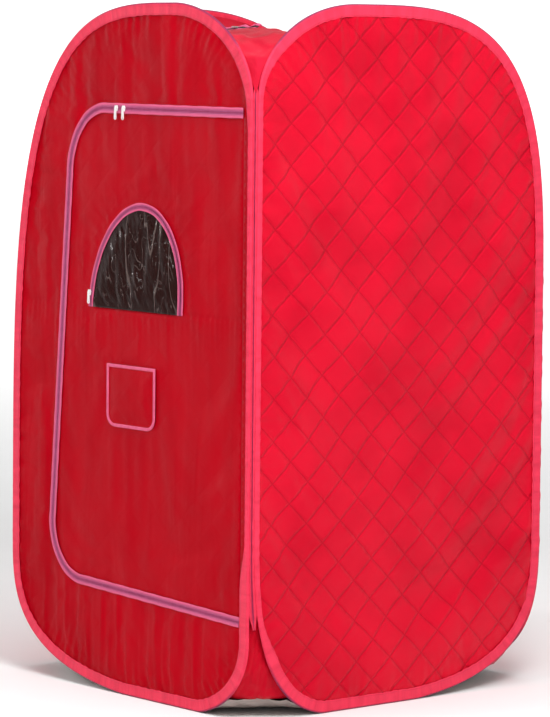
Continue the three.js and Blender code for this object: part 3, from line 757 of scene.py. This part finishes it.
def flatten(piece):
    """Gives a piece its own copy of its mesh."""
    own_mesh(piece)


def ease(piece, width, segments):
    """Rounds the edges of a hard piece."""
    modifier = piece.modifiers.new("eased", "BEVEL")
    modifier.width = width
    modifier.segments = segments
    modifier.limit_method = "ANGLE"
    modifier.angle_limit = math.radians(40)


# ---------------------------------------------------------------- wall panels


def quilt_puff(flat):
    """Height of the quilting from 0 on its lines to 1 in the middle of a diamond."""
    across = (flat[:, 0] - QUILT_CORNER[0]) / QUILT[0]
    up = (flat[:, 1] - QUILT_CORNER[1]) / QUILT[1]
    return (np.abs(np.sin(math.pi * (across + up))) * np.abs(np.sin(math.pi * (across - up)))) ** 0.5


def gathers(flat, edge, seed, reach=0.055, pitch=0.040):
    """Short pleats that run in from an edge and die out, about -1 to 1, and the distance
    from the edge."""
    gap, index = nearest(tree_of(edge), flat)
    along = index * np.linalg.norm(edge[1] - edge[0])
    random = np.random.default_rng(seed)
    height = np.zeros(len(flat))
    for share in (1.0, 0.7, 0.5):
        wave = pitch * random.uniform(0.6, 1.7)
        height += share * np.sin(2 * math.pi * along / wave + random.uniform(0, 6))
    calm = 0.5 + 0.5 * np.sin(2 * math.pi * along / 0.31 + random.uniform(0, 6))
    return height * 0.5 * np.exp(-gap / reach) * (0.35 + 0.65 * calm), gap


def flat_piece(name, wall, points, triangles, depth):
    """A sheet at a depth on its wall, from points on the flat cloth."""
    return new_object(name, place(wall, points[:, 0], depth, points[:, 1]), triangles, points)


def wall_piece(name, wall, loop, holes, sewn, start, relief, slack=0.006, reach=0.008):
    """A wall panel. start is its first depth and relief what sewing adds after the
    simulation, both from points on the flat cloth; sewn is 1 where it is held down."""
    points, triangles = fill(loop, holes, SPACING)
    depth = PANEL_DEPTH - 0.0010 + start(points)
    piece = flat_piece(name, wall, points, triangles, depth)
    settle(piece, sewn(points), slack, reach)
    subdivide(piece)
    outward = place(wall, 0, 1, 0) - place(wall, 0, 0, 0)
    move_points(piece, points_of(piece) + relief(flat_of(piece))[:, None] * outward)
    return solidify(piece, PANEL_THICK)


def rim_gap(wall, flat):
    """Distance inwards from the rim binding's inner edge, 0 under the binding."""
    edge = binding_edge(wall)
    gap, _ = nearest(tree_of(edge), flat)
    return gap * inside(flat, edge)


def streaks(flat, seed, wave, tall=0.9):
    """Long folds that hang straight down, from -1 to 1."""
    random = np.random.default_rng(seed)
    height = np.zeros(len(flat))
    for _ in range(6):
        length = wave * random.uniform(0.6, 1.8)
        lean = random.uniform(-0.06, 0.06)
        swell = np.sin(2 * math.pi * flat[:, 1] / (tall * random.uniform(0.5, 1.3)) + random.uniform(0, 6))
        fold = np.sin(2 * math.pi * (flat[:, 0] + lean * flat[:, 1]) / length + random.uniform(0, 6))
        height += fold * (0.55 + 0.45 * swell)
    return height / 4


def below_seam(flat):
    """The small vertical gathers that hang from the seam across the front."""
    drop = MIDDLE_SEAM - flat[:, 1]
    fold = np.sin(flat[:, 0] / 0.0035 + 2 * np.sin(flat[:, 0] / 0.03))
    seam = np.exp(-(drop / 0.003) ** 2)
    return 0.0011 * fold * np.exp(-np.abs(drop) / 0.05) * (drop > 0) - 0.0016 * seam


door_edge = door_line()


def front_sewn(flat):
    """1 under the rim, along the doorway and on the strip beside the door's hinge."""
    door_gap, _ = nearest(tree_of(door_edge), flat)
    beside_hinge = flat[:, 0] > DOOR_HINGE - 0.001
    beside_hinge &= (flat[:, 1] > DOOR_FOOT - 0.022) & (flat[:, 1] < DOOR_TOP + 0.023)
    free = smoothstep(rim_gap("front", flat), 0.0, 0.006) * smoothstep(door_gap, 0.012, 0.020)
    return 1 - free * ~beside_hinge


def front_start(flat):
    return 0.0030 * streaks(flat, 5, 0.060) * (1 - front_sewn(flat))


def front_relief(flat):
    free = 1 - front_sewn(flat)
    edge = binding_edge("front")
    pleat, _ = gathers(flat, edge, 3)
    foot = smoothstep(flat[:, 1], 0.34, 0.24) * smoothstep(rim_gap("front", flat), 0.0, 0.03)
    folds = 0.0048 * np.clip(streaks(flat, 17, 0.050, tall=0.5), 0, 2) * foot
    return free * (0.0005 * quilt_puff(flat) + 0.0030 * pleat + below_seam(flat) + folds)


front_loop = offset(rim_outline("front"), -PANEL_INSET, closed=True)
doorway = np.vstack([
    offset(door_edge, DOOR_CUT),
    [(DOOR_HINGE + HINGE_CUT, DOOR_FOOT), (DOOR_HINGE + HINGE_CUT, DOOR_TOP)],
])
front_panel = wall_piece(
    "front_wall_cloth", "front", front_loop, [doorway], front_sewn, front_start, front_relief,
)
finish_piece(front_panel, paint["front"], "front_wall", "front_panel", slot="front_fabric")


def make_quilted_wall(wall, seed, holes):
    """A quilted wall, with pleats under its rim and creases that run in from its edges."""
    edge = binding_edge(wall)

    def sewn(flat):
        held = 1 - smoothstep(rim_gap(wall, flat), 0.0, 0.006)
        for hole in holes:
            gap, _ = nearest(tree_of(hole), flat)
            held = np.maximum(held, smoothstep(gap, 0.03, 0.012))
        return held

    def start(flat):
        creases, _ = gathers(flat, edge, seed + 40, reach=0.10, pitch=0.075)
        return (0.0022 * ripples(flat, seed, 0.30) + 0.0030 * creases) * (1 - sewn(flat))

    def relief(flat):
        free = 1 - sewn(flat)
        pleat, _ = gathers(flat, edge, seed)
        top = 0.4 + 0.6 * smoothstep(flat[:, 1], 1.2, 1.6)
        strong = 0.55 + 0.45 * smoothstep(flat[:, 1], 0.55, 1.25)
        return free * (0.0042 * quilt_puff(flat) * strong + 0.0048 * pleat * top)

    loop = offset(rim_outline(wall), -PANEL_INSET, closed=True)
    cloth = wall_piece(f"{wall}_wall_cloth", wall, loop, holes, sewn, start, relief)
    finish_piece(cloth, paint["quilted"], f"{wall}_wall", f"{wall}_panel", slot="quilted_fabric")


make_quilted_wall("right", 11, [])
make_quilted_wall("back", 12, [])
make_quilted_wall("left", 13, [arc(INLET, (INLET_HOLE, INLET_HOLE), 0, 352, 44)])

# ---------------------------------------------------------------- rim sleeves

RIM_PROFILE = [
    (-0.0320, 0.0092), (-0.0312, 0.0096), (-0.0220, 0.0092), (-0.0130, 0.0089), (-0.0092, 0.0094),
    (-0.0056, 0.0099), (-0.0026, 0.0089), (-0.0006, 0.0066), (-0.0002, 0.0050), (-0.0006, 0.0034),
    (-0.0026, 0.0011), (-0.0056, 0.0001), (-0.0092, 0.0006), (-0.0130, 0.0011), (-0.0220, 0.0008),
    (-0.0320, 0.0006), (-0.0320, 0.0018), (-0.0120, 0.0020), (-0.0100, 0.0050), (-0.0120, 0.0080),
    (-0.0320, 0.0081),
]


def mark(piece, name, values):
    """A number for each point, which the materials can read."""
    layer = piece.data.attributes.new(name, "FLOAT", "POINT")
    layer.data.foreach_set("value", np.asarray(values, np.float32))


def rim_wobble(seed, squeeze):
    """The binding's uneven inner edge. squeeze narrows it, behind the wire's bulge."""
    random = np.random.default_rng(seed)
    waves = [(random.uniform(0.018, 0.085), random.uniform(0, 6)) for _ in range(5)]

    def wobble(along, out, depth):
        height = sum(np.sin(2 * math.pi * along / length + phase) for length, phase in waves) / 5
        inner = smoothstep(-out, 0.010, 0.030)
        front = (depth > 0.005) * 1.0
        flat_part = np.minimum(out + WIRE_BULGE, 0)
        return flat_part * (squeeze - 1) + 0.0018 * height * inner, 0.0007 * height * inner * front
    return wobble


for wall in TURN:
    path = rim_outline(wall)
    squeeze = (rim_width(wall, path)[:, None] - WIRE_BULGE) / (RIM_WIDTH - WIRE_BULGE)
    wobble = rim_wobble(len(wall) + 20, squeeze)
    rim = sweep(f"{wall}_rim_binding", wall, path, RIM_PROFILE, closed=True, wobble=wobble)
    # The binding's outer fold is painted darker as shade, except along the joined sides of the wall below
    # its top; on the front and right walls only the side at their shared corner counts as joined.
    share = smoothstep(-np.array(RIM_PROFILE)[:, 0], 0.0050, 0.0010)
    joined = smoothstep(np.abs(path[:, 0]), 0.40, 0.47) * smoothstep(path[:, 1], 1.74, 1.66)
    if wall in ("front", "right"):
        side = 1 if wall == "front" else -1
        joined *= smoothstep(side * path[:, 0], 0.0, 0.1)
    mark(rim, "outer", ((1 - joined)[:, None] * share).ravel())
    finish_piece(rim, paint["rim"], f"{wall}_wall", f"{wall}_rim_sleeve", slot="rim_fabric")

# ---------------------------------------------------------------- door


def door_sewn(flat):
    """1 along the door's edges, round the window and under the pocket."""
    free = smoothstep(nearest(tree_of(door_edge), flat)[0], 0.012, 0.020)
    free *= smoothstep(nearest(tree_of(window_line()), flat)[0], 0.014, 0.022)
    free *= smoothstep(DOOR_HINGE - flat[:, 0], 0.002, 0.010)
    off_seam = np.abs(flat[:, 1] - MIDDLE_SEAM) > 0.016
    beside_window = np.abs(flat[:, 0] - WINDOW_MIDDLE) > WINDOW_HALF + 0.015
    free *= off_seam | beside_window
    free *= 1 - inside(flat, pocket_line(-0.012))
    return 1 - free


def door_start(flat):
    high = 0.25 + 0.75 * smoothstep(np.abs(flat[:, 1] - 0.9), 0.25, 0.55)
    return 0.0016 * streaks(flat, 6, 0.085) * high * (1 - door_sewn(flat))


def door_relief(flat):
    pleat, _ = gathers(flat, even(window_line(0.02), 0.006), 8, reach=0.05, pitch=0.03)
    free = 1 - door_sewn(flat)
    return free * (0.0005 * quilt_puff(flat) + 0.0010 * pleat + below_seam(flat))


leaf = np.vstack([
    offset(door_edge, -DOOR_CUT),
    [(DOOR_HINGE - HINGE_CUT, DOOR_FOOT + DOOR_CUT), (DOOR_HINGE - HINGE_CUT, DOOR_TOP - DOOR_CUT)],
])
door_cloth = wall_piece(
    "door_cloth", "front", leaf, [window_line(-WINDOW_HOLE_INSET)], door_sewn, door_start, door_relief,
    slack=0.0025, reach=0.004,
)
finish_piece(door_cloth, paint["front"], "door", "door_panel", slot="front_fabric")


def zip_side(name, path, side, depth, width, body, node):
    """One half of a zip: its tape, with a row of teeth along the edge that meets the other."""
    lower, upper = depth, depth + TAPE_THICK
    border = 0.62 * width
    flat = np.array([
        (0.0034, lower), (border, lower), (width, lower), (width + 0.0004, (lower + upper) / 2),
        (width, upper + 0.0003), (border + 0.0012, upper + 0.0003), (border, upper), (0.0040, upper),
        (0.0034, lower + 0.0004),
    ])

    def ruffle(along, out, deep):
        return 0.0004 * np.sin(along / 0.011) * (abs(out) > width * 0.8), 0 * along * out

    strip = sweep(name, "front", path, flat * (side, 1), wobble=ruffle)
    mark(strip, "border", np.tile(smoothstep(flat[:, 0], border - 0.0006, border + 0.0006), len(path)))
    finish_piece(strip, paint["tape"], body, node, slot="zip_tape")
    teeth = np.array([
        (0.0003, lower), (0.0036, lower), (0.0040, upper + 0.0001), (0.0022, upper + 0.0004),
        (0.0003, upper + 0.0002),
    ])

    def bite(along, out, deep):
        phase = 0.5 + 0.5 * np.sin(2 * math.pi * along / TOOTH + (0 if side > 0 else math.pi))
        return 0 * along * out, -0.0009 * phase * (deep > depth + TAPE_THICK)

    coil = sweep(name + "_teeth", "front", even(path, TOOTH / 4), teeth * (side, 1), wobble=bite)
    finish_piece(coil, paint["coil"], body, slot="zip_tape")


zip_side("door_zip_frame_side", door_edge, 1, TAPE_DEPTH, ZIP_WIDTH, "front_wall", "door_zip_frame_tape")
zip_side("door_zip_leaf_side", door_edge, -1, TAPE_DEPTH, ZIP_WIDTH, "door", "door_zip_leaf_tape")

# Pocket: a pouch that stands off the door a little, bound round its edge
pocket_points, pocket_triangles = fill(even(pocket_line(0.002), 0.005, closed=True), [], 0.006)
pocket_gap, _ = nearest(tree_of(even(pocket_line(), 0.004, closed=True)), pocket_points)
pocket_depth = 0.0088 + 0.0052 * smoothstep(pocket_gap, 0.0, 0.05)
pocket_depth += 0.0009 * ripples(pocket_points, 31, 0.05) * smoothstep(pocket_gap, 0.004, 0.02)
pocket = flat_piece("pocket_pouch", "front", pocket_points, pocket_triangles, pocket_depth)
solidify(pocket, 0.0008)
finish_piece(pocket, paint["front"], "door", "pocket_patch", slot="front_fabric")

TRIM_PROFILE = [
    (-0.0090, 0.0092), (-0.0084, 0.0108), (-0.0045, 0.0118), (-0.0006, 0.0108), (0.0, 0.0096),
    (-0.0006, 0.0090),
]
trim = sweep("pocket_trim", "front", even(pocket_line(), 0.004, closed=True), TRIM_PROFILE, closed=True)
finish_piece(trim, paint["trim"], "door", "pocket_binding", slot="zip_tape")

# Window: a clear film flap, zipped round its arch
film_line = window_line(-FILM_INSET)
film_points, film_triangles = fill(film_line, [], 0.005)
arch = even(film_line, 0.005)
film_gap, _ = nearest(tree_of(arch), film_points)
film_free = smoothstep(film_gap, 0.010, 0.035) * smoothstep(film_points[:, 1], 1.006, 1.03)
film_bulge = smoothstep(film_gap, 0.006, 0.05) * smoothstep(film_points[:, 1], 1.006, 1.05)
film_depth = 0.0088 + 0.0045 * film_bulge + film_free * (
    0.0020 * ripples(film_points, 41, 0.05, direction=0.0, spread=0.9)
    + 0.0010 * ripples(film_points, 42, 0.02, direction=0.3, spread=1.6)
)
film = flat_piece("window_film", "front", film_points, film_triangles, film_depth)
solidify(film, 0.0004)
finish_piece(film, paint["film"], "window", "window_sheet", slot="clear_vinyl")

arch_edge = even(window_line(-0.0095), 0.004)
zip_side("window_zip_frame_side", arch_edge, 1, TAPE_DEPTH, 0.0098, "door", "window_zip_frame_tape")
zip_side("window_zip_flap_side", arch_edge, -1, 0.0099, 0.0095, "window", "window_zip_flap_tape")

# ---------------------------------------------------------------- roof, floor and gussets


def face_part(node, keep, levels):
    """A copy of the faces of a CAD node whose normals keep() accepts, subdivided smooth."""
    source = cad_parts[node].data
    work = bmesh.new()
    work.from_mesh(source)
    bmesh.ops.remove_doubles(work, verts=work.verts, dist=1e-5)
    work.normal_update()
    lose = [f for f in work.faces if not keep(f)]
    bmesh.ops.delete(work, geom=lose, context="FACES")
    bmesh.ops.join_triangles(
        work, faces=work.faces, angle_face_threshold=math.radians(60), angle_shape_threshold=math.radians(60)
    )
    mesh = bpy.data.meshes.new(node + "_cloth")
    work.to_mesh(mesh)
    work.free()
    piece = bpy.data.objects.new(node + "_cloth", mesh)
    bpy.context.scene.collection.objects.link(piece)
    subdivide(piece, levels)
    return piece


def map_flat(piece, axes):
    """A UV map in metres, from two of the points' coordinates."""
    flat = points_of(piece)[:, axes]
    for layer in list(piece.data.uv_layers):
        piece.data.uv_layers.remove(layer)
    map_metres(piece.data, flat)


roof = face_part("roof_panel", lambda f: f.normal.z > 0.05, 2)
zip_low, zip_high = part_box("roof_zip_tape")
zip_middle = (zip_low.y + zip_high.y) / 2


def by_roof_zip(points):
    """1 along the roof's zip, whose tapes hold the cloth flat, falling to 0 beside it."""
    beside = np.exp(-((points[:, 1] - zip_middle) / 0.035) ** 2)
    return beside * smoothstep(zip_high.x + 0.08 - points[:, 0], 0.0, 0.06)


def inside_edge(points, low, high):
    """How far a roof or floor point is in from the sheet's edge: 0 at low and 1 at high."""
    return smoothstep(HALF - np.abs(points[:, :2]).max(axis=1), low, high)


def wrinkle_roof(*waves):
    """Raises and lowers the roof between its edge and its zip. Each wave is a height, a
    seed and a wavelength."""
    spots = points_of(roof)
    height = sum(size * ripples(spots[:, :2], seed, length) for size, seed, length in waves)
    spots[:, 2] += inside_edge(spots, 0.004, 0.06) * (1 - by_roof_zip(spots)) * height
    move_points(roof, spots)


wrinkle_roof((0.007, 51, 0.22), (0.003, 52, 0.09))
map_flat(roof, (0, 1))
spots = points_of(roof)
held = np.maximum(1 - smoothstep(inside_edge(spots, 0.004, 0.06), 0.0, 0.2), by_roof_zip(spots))
settle(roof, held, slack=0.030, reach=0.016, weight=0.6)
subdivide(roof)
wrinkle_roof((0.0028, 53, 0.045))
roof_tree = BVHTree.FromPolygons(
    [tuple(p) for p in points_of(roof)], [tuple(f.vertices) for f in roof.data.polygons]
)
solidify(roof, THIN_CLOTH)
finish_piece(roof, paint["roof"], "front_wall", "roof_panel", slot="roof_fabric")
flatten(roof)

floor_cloth = face_part("floor_panel", lambda f: f.normal.z > 0.2, 2)
spots = points_of(floor_cloth)
by_corner = smoothstep(np.abs(spots[:, :2]).sum(axis=1), 0.70, 0.88)
spots[:, 2] += 0.0012 * ripples(spots[:, :2], 61, 0.2) * inside_edge(spots, 0.0, 0.05)
spots[:, 2] += 0.0060 * ripples(spots[:, :2], 62, 0.040) * by_corner
spots[:, 2] = np.maximum(spots[:, 2] - 0.001, 0.0035)
move_points(floor_cloth, spots)
map_flat(floor_cloth, (0, 1))
solidify(floor_cloth, THIN_CLOTH)
finish_piece(floor_cloth, paint["floor"], "front_wall", "floor_panel", slot="floor_fabric")
flatten(floor_cloth)


def bend_at_corner(piece):
    """Bakes a piece's placement into its mesh."""
    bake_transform(piece)


for name, (sx, sy) in CORNERS.items():
    outwards = Vector((sx, sy, 0)).normalized()
    gusset = face_part(f"base_gusset_{name}", lambda f: f.normal.dot(outwards) > 0.2, 2)
    spots = points_of(gusset)
    across = np.stack([spots[:, 0] * sy - spots[:, 1] * sx, spots[:, 2]], axis=1)
    crumple = 0.6 * ripples(across, 71, 0.06) + 0.5 * ripples(across, 72, 0.025)
    spots[:, :2] += -0.0035 * (1 + crumple[:, None]) * np.array([sx, sy])
    move_points(gusset, spots)
    map_flat(gusset, (0, 2))
    solidify(gusset, THIN_CLOTH)
    finish_piece(gusset, paint["gusset"], None, f"base_gusset_{name}", slot="front_fabric")
    if name == "back_left":
        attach(gusset, "back_wall")
        flatten(gusset)
    else:
        bend_at_corner(gusset)

# ---------------------------------------------------------------- roof zip


def roof_height(x, y):
    hit = roof_tree.ray_cast(Vector((x, y, 2.0)), Vector((0, 0, -1)))[0]
    return hit.z if hit else 1.7


def roof_strip(name, material, across, lifts, thick, waver=0.0, node=None):
    """A strip laid along the roof from left to right. across holds the distances of its
    points from the zip's middle, and lifts how far each stands off the roof."""
    rows = np.linspace(zip_low.x + 0.004, zip_high.x - 0.004, 90)
    points, uv = [], []
    for x in rows:
        sway = waver * (math.sin(x / 0.013) + math.sin(x / 0.0215 + 1)) * smoothstep(x, -0.01, 0.03)
        swell = 1 + 0.35 * math.sin(x / 0.010) * smoothstep(x, -0.01, 0.03)
        top = [(x, zip_middle + a + sway, roof_height(x, zip_middle + a + sway) + lift * swell)
               for a, lift in zip(across, lifts)]
        points += top + [(px, py, pz - thick) for px, py, pz in reversed(top)]
        uv += [(x, a) for a in across] + [(x, a) for a in reversed(across)]
    strip = new_object(name, points, tube_faces(len(rows), 2 * len(across)), uv)
    face_outwards(strip)
    finish_piece(strip, material, "front_wall", *([node] if node else []), slot="zip_tape")
    flatten(strip)
    return strip


# The near tape lies flat and the far one stands up, so that the dark teeth show between
border_share = [1.0, 0.0, 1.0, 1.0]
for side, word, lifts in (
    (-1, "near", (0.0022, 0.0020, 0.0018, 0.0016)), (1, "far", (0.0062, 0.0080, 0.0096, 0.0104)),
):
    across = [side * a for a in (0.0030, 0.0060, 0.0085, 0.0125)]
    strip = roof_strip(f"roof_zip_{word}_side", paint["tape"], across, lifts, 0.0010,
                       waver=0.0016 * side, node="roof_zip_tape" if side < 0 else None)
    mark(strip, "border", np.tile(border_share + border_share[::-1], len(strip.data.vertices) // 8))
roof_strip("roof_zip_teeth", paint["dark_coil"], (-0.0034, -0.0012, 0.0012, 0.0034),
           (0.0016, 0.0030, 0.0044, 0.0058), 0.0012)

roof_slider = face_part("roof_zip_slider", lambda f: True, 0)
roof_slider.name = "roof_zip_slider_body"
map_flat(roof_slider, (0, 1))
ease(roof_slider, 0.0008, 3)
apply_modifiers(roof_slider)
finish_piece(roof_slider, paint["slider_grey"], "front_wall", "roof_zip_slider")
flatten(roof_slider)

# ---------------------------------------------------------------- corner seams


def rim_edge(wall, side, z):
    """How far a rim's outer edge stands from the middle of its wall, at a height."""
    path = rim_outline(wall)
    part = path[side * path[:, 0] > 0.2]
    order = np.argsort(part[:, 1])
    return float(np.interp(z, part[order, 1], side * part[order, 0]))


def corner_strip(name, sx, sy):
    """The folded strip that joins two walls' rims at a corner, puckered by its stitches."""
    low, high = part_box(f"corner_seam_{name}")
    run_down = 0.125 if name == "front_right" else 0.010
    run_up = 0.036
    rows = np.arange(low.z - run_down, high.z + run_up, 0.006)
    wall_x, side_x = ("front", sx) if sy < 0 else ("back", -sx)
    wall_y, side_y = ("right", sy) if sx > 0 else ("left", -sy)
    reach = 0.0052              # of its edges past the walls' inner faces
    width, thickness = 0.016, 0.0010
    steps = np.array([0, 0.12, 0.24, 0.36, 0.44, 0.5, 0.56, 0.64, 0.76, 0.88, 1])
    points, uv = [], []
    for z in rows:
        tuck = smoothstep(z, rows[0], rows[0] + 0.05) * smoothstep(z, rows[-1], rows[-1] - 0.05)
        pucker = 0.0006 * math.sin(z / 0.0065) + 0.0007 * math.sin(z / 0.019 + 1)
        start = np.array([rim_edge(wall_x, side_x, z), HALF + reach]) + 0.0004
        end = np.array([HALF + reach, rim_edge(wall_y, side_y, z)]) + 0.0004
        outer, inner = [], []
        for step in steps:
            t = 0.5 + (step - 0.5) * (0.3 + 0.7 * tuck)
            groove = math.exp(-((t - 0.5) / 0.12) ** 2)
            bow = (0.0020 + pucker) * math.sin(math.pi * t) - 0.0010 - 0.0030 * groove
            bow = bow * tuck - 0.0070 * (1 - tuck) * (0.4 + 0.6 * math.sin(math.pi * t))
            x, y = start + (end - start) * t + bow
            outer.append((sx * x, sy * y, z))
            inner.append((sx * (x - thickness), sy * (y - thickness), z))
        points += outer + inner[::-1]
        uv += [(z, width * t) for t in steps] + [(z, 0.02 + width * t) for t in steps[::-1]]
    faces = tube_faces(len(rows), 2 * len(steps))
    strip = new_object(f"corner_strip_{name}", points, faces, uv)
    face_outwards(strip)
    # Painted shade down the strip's middle, in the groove between the two rims.
    shade = np.exp(-((steps - 0.5) / 0.10) ** 2)
    mark(strip, "outer", np.tile(np.concatenate([shade, shade[::-1]]), len(rows)))
    body = "left_wall" if name == "back_left" else None
    finish_piece(strip, paint["rim"], body, f"corner_seam_{name}", slot="rim_fabric")
    if not body:
        bend_at_corner(strip)


for name, (sx, sy) in CORNERS.items():
    corner_strip(name, sx, sy)

# ---------------------------------------------------------------- CAD nodes that stay


def dress(node, material, bevel=0.0, segments=2):
    """A CAD node keeps its shape and gets a finish, with its edges eased."""
    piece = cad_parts[node]
    piece.data.materials.clear()
    piece.data.materials.append(material)
    if bevel:
        ease(piece, bevel, segments)


for wall in TURN:
    dress(f"{wall}_wire_loop", paint["steel"])
    dress(f"{wall}_wire_ferrule", paint["steel"])
dress("steam_inlet_collar", paint["rubber"], 0.0006)
for part in ("door_slider_right", "door_slider_left", "window_slider"):
    dress(part, paint["enamel"], 0.0008, 3)
for part in ("door_pull_right", "door_pull_left", "window_pull"):
    dress(part, paint["enamel"], 0.0005, 2)

# ---------------------------------------------------------------- stage, light and camera

# The camera's place, matched to the photo: degrees, metres and millimetres.
AZIMUTH, ELEVATION, ROLL = 49.66, 5.0, 0.53
DISTANCE, LENS = 9.9, 185.8
AIM = Vector((0, 0, 0.9))


def make_stage():
    """A pale round floor that curves up into a low wall all the way round, far off. It
    glows a little behind the object, as a lit backdrop does."""
    flat_radius, bend, height = 32.0, 4.0, 7.0
    rings, bend_steps, turns = 40, 12, 96
    line = [(flat_radius * k / rings, 0.0) for k in range(1, rings + 1)]
    for i in range(bend_steps + 1):
        angle = math.pi / 2 * i / bend_steps
        line.append((flat_radius + bend * math.sin(angle), bend * (1 - math.cos(angle))))
    line.append((flat_radius + bend, height))
    points, faces = [(0, 0, 0)], []
    for radius, z in line:
        for k in range(turns):
            angle = 2 * math.pi * k / turns
            points.append((radius * math.cos(angle), radius * math.sin(angle), z))
    for k in range(turns):
        faces.append((0, 1 + k, 1 + (k + 1) % turns))
    for i in range(len(line) - 1):
        for k in range(turns):
            a, b = 1 + i * turns + k, 1 + i * turns + (k + 1) % turns
            faces.append((a, a + turns, b + turns, b))
    floor = new_object("studio_floor", points, faces, np.array(points)[:, :2])
    n = Nodes("studio_floor")
    mottle = n.noise(n.place(), 3.0)
    tone = n.blend(n.span(mottle, 0.3, 0.7), (0.97, 0.97, 0.97), (0.95, 0.95, 0.95))
    x, y, _ = n.split(n.place())
    way_x, way_y = -math.sin(math.radians(AZIMUTH)), math.cos(math.radians(AZIMUTH))
    behind = n.math("ADD", n.math("MULTIPLY", x, way_x), n.math("MULTIPLY", y, way_y))
    glow = n.span(behind, 2.5, 9.0, 0.0, 0.62)
    floor.data.materials.append(n.set(
        Base_Color=tone, Roughness=0.85, Specular_IOR_Level=0.1,
        Emission_Color=(1, 1, 1, 1), Emission_Strength=glow,
    ))


def area_light(name, spot, aim, size, power):
    data = bpy.data.lights.new(name, "AREA")
    data.shape = "RECTANGLE"
    data.size, data.size_y = size
    data.energy = power
    lamp = bpy.data.objects.new(name, data)
    lamp.location = spot
    lamp.rotation_euler = (Vector(aim) - Vector(spot)).to_track_quat("-Z", "Y").to_euler()
    bpy.context.scene.collection.objects.link(lamp)


make_stage()
area_light("key", (2.8, -1.3, 3.2), (0.5, -0.2, 1.5), (1.4, 1.4), 102)
area_light("front_fill", (-2.0, -5.5, 4.6), (0, -0.5, 1.4), (1.2, 2.0), 66)
area_light("top", (0.5, -0.5, 5.5), (0, 0, 0), (4, 4), 140)
area_light("low_fill", (2.6, -2.2, 0.20), (0.45, -0.45, 0.05), (0.8, 0.2), 3)
area_light("glint_left", (-6.6, -1.9, 1.6), (0, -0.5, 1.1), (0.12, 1.6), 26)
area_light("glint_front", (-3.0, -6.3, 1.4), (0, -0.5, 1.1), (0.12, 1.8), 26)

world = bpy.data.worlds.new("studio")
world.use_nodes = True
world.node_tree.nodes["Background"].inputs["Color"].default_value = (1, 1, 1, 1)
world.node_tree.nodes["Background"].inputs["Strength"].default_value = 0.41
bpy.context.scene.world = world
bpy.context.scene.view_settings.view_transform = "Standard"

azimuth, elevation, roll = (math.radians(a) for a in (AZIMUTH, ELEVATION, ROLL))
backward = Vector((
    math.sin(azimuth) * math.cos(elevation), -math.cos(azimuth) * math.cos(elevation), math.sin(elevation),
))
rightward = Vector((math.cos(azimuth), math.sin(azimuth), 0))
upward = backward.cross(rightward)
tilted_right = math.cos(roll) * rightward + math.sin(roll) * upward
tilted_up = math.cos(roll) * upward - math.sin(roll) * rightward
camera = bpy.data.objects.new("camera", bpy.data.cameras.new("camera"))
camera.matrix_world = Matrix.Translation(AIM + DISTANCE * backward) @ Matrix(
    (tilted_right, tilted_up, backward)).transposed().to_4x4()
camera.data.lens = LENS
camera.data.sensor_width = 36
camera.data.shift_x, camera.data.shift_y = -0.0022, -0.0234
camera.data.clip_end = 60
bpy.context.scene.collection.objects.link(camera)
bpy.context.scene.camera = camera
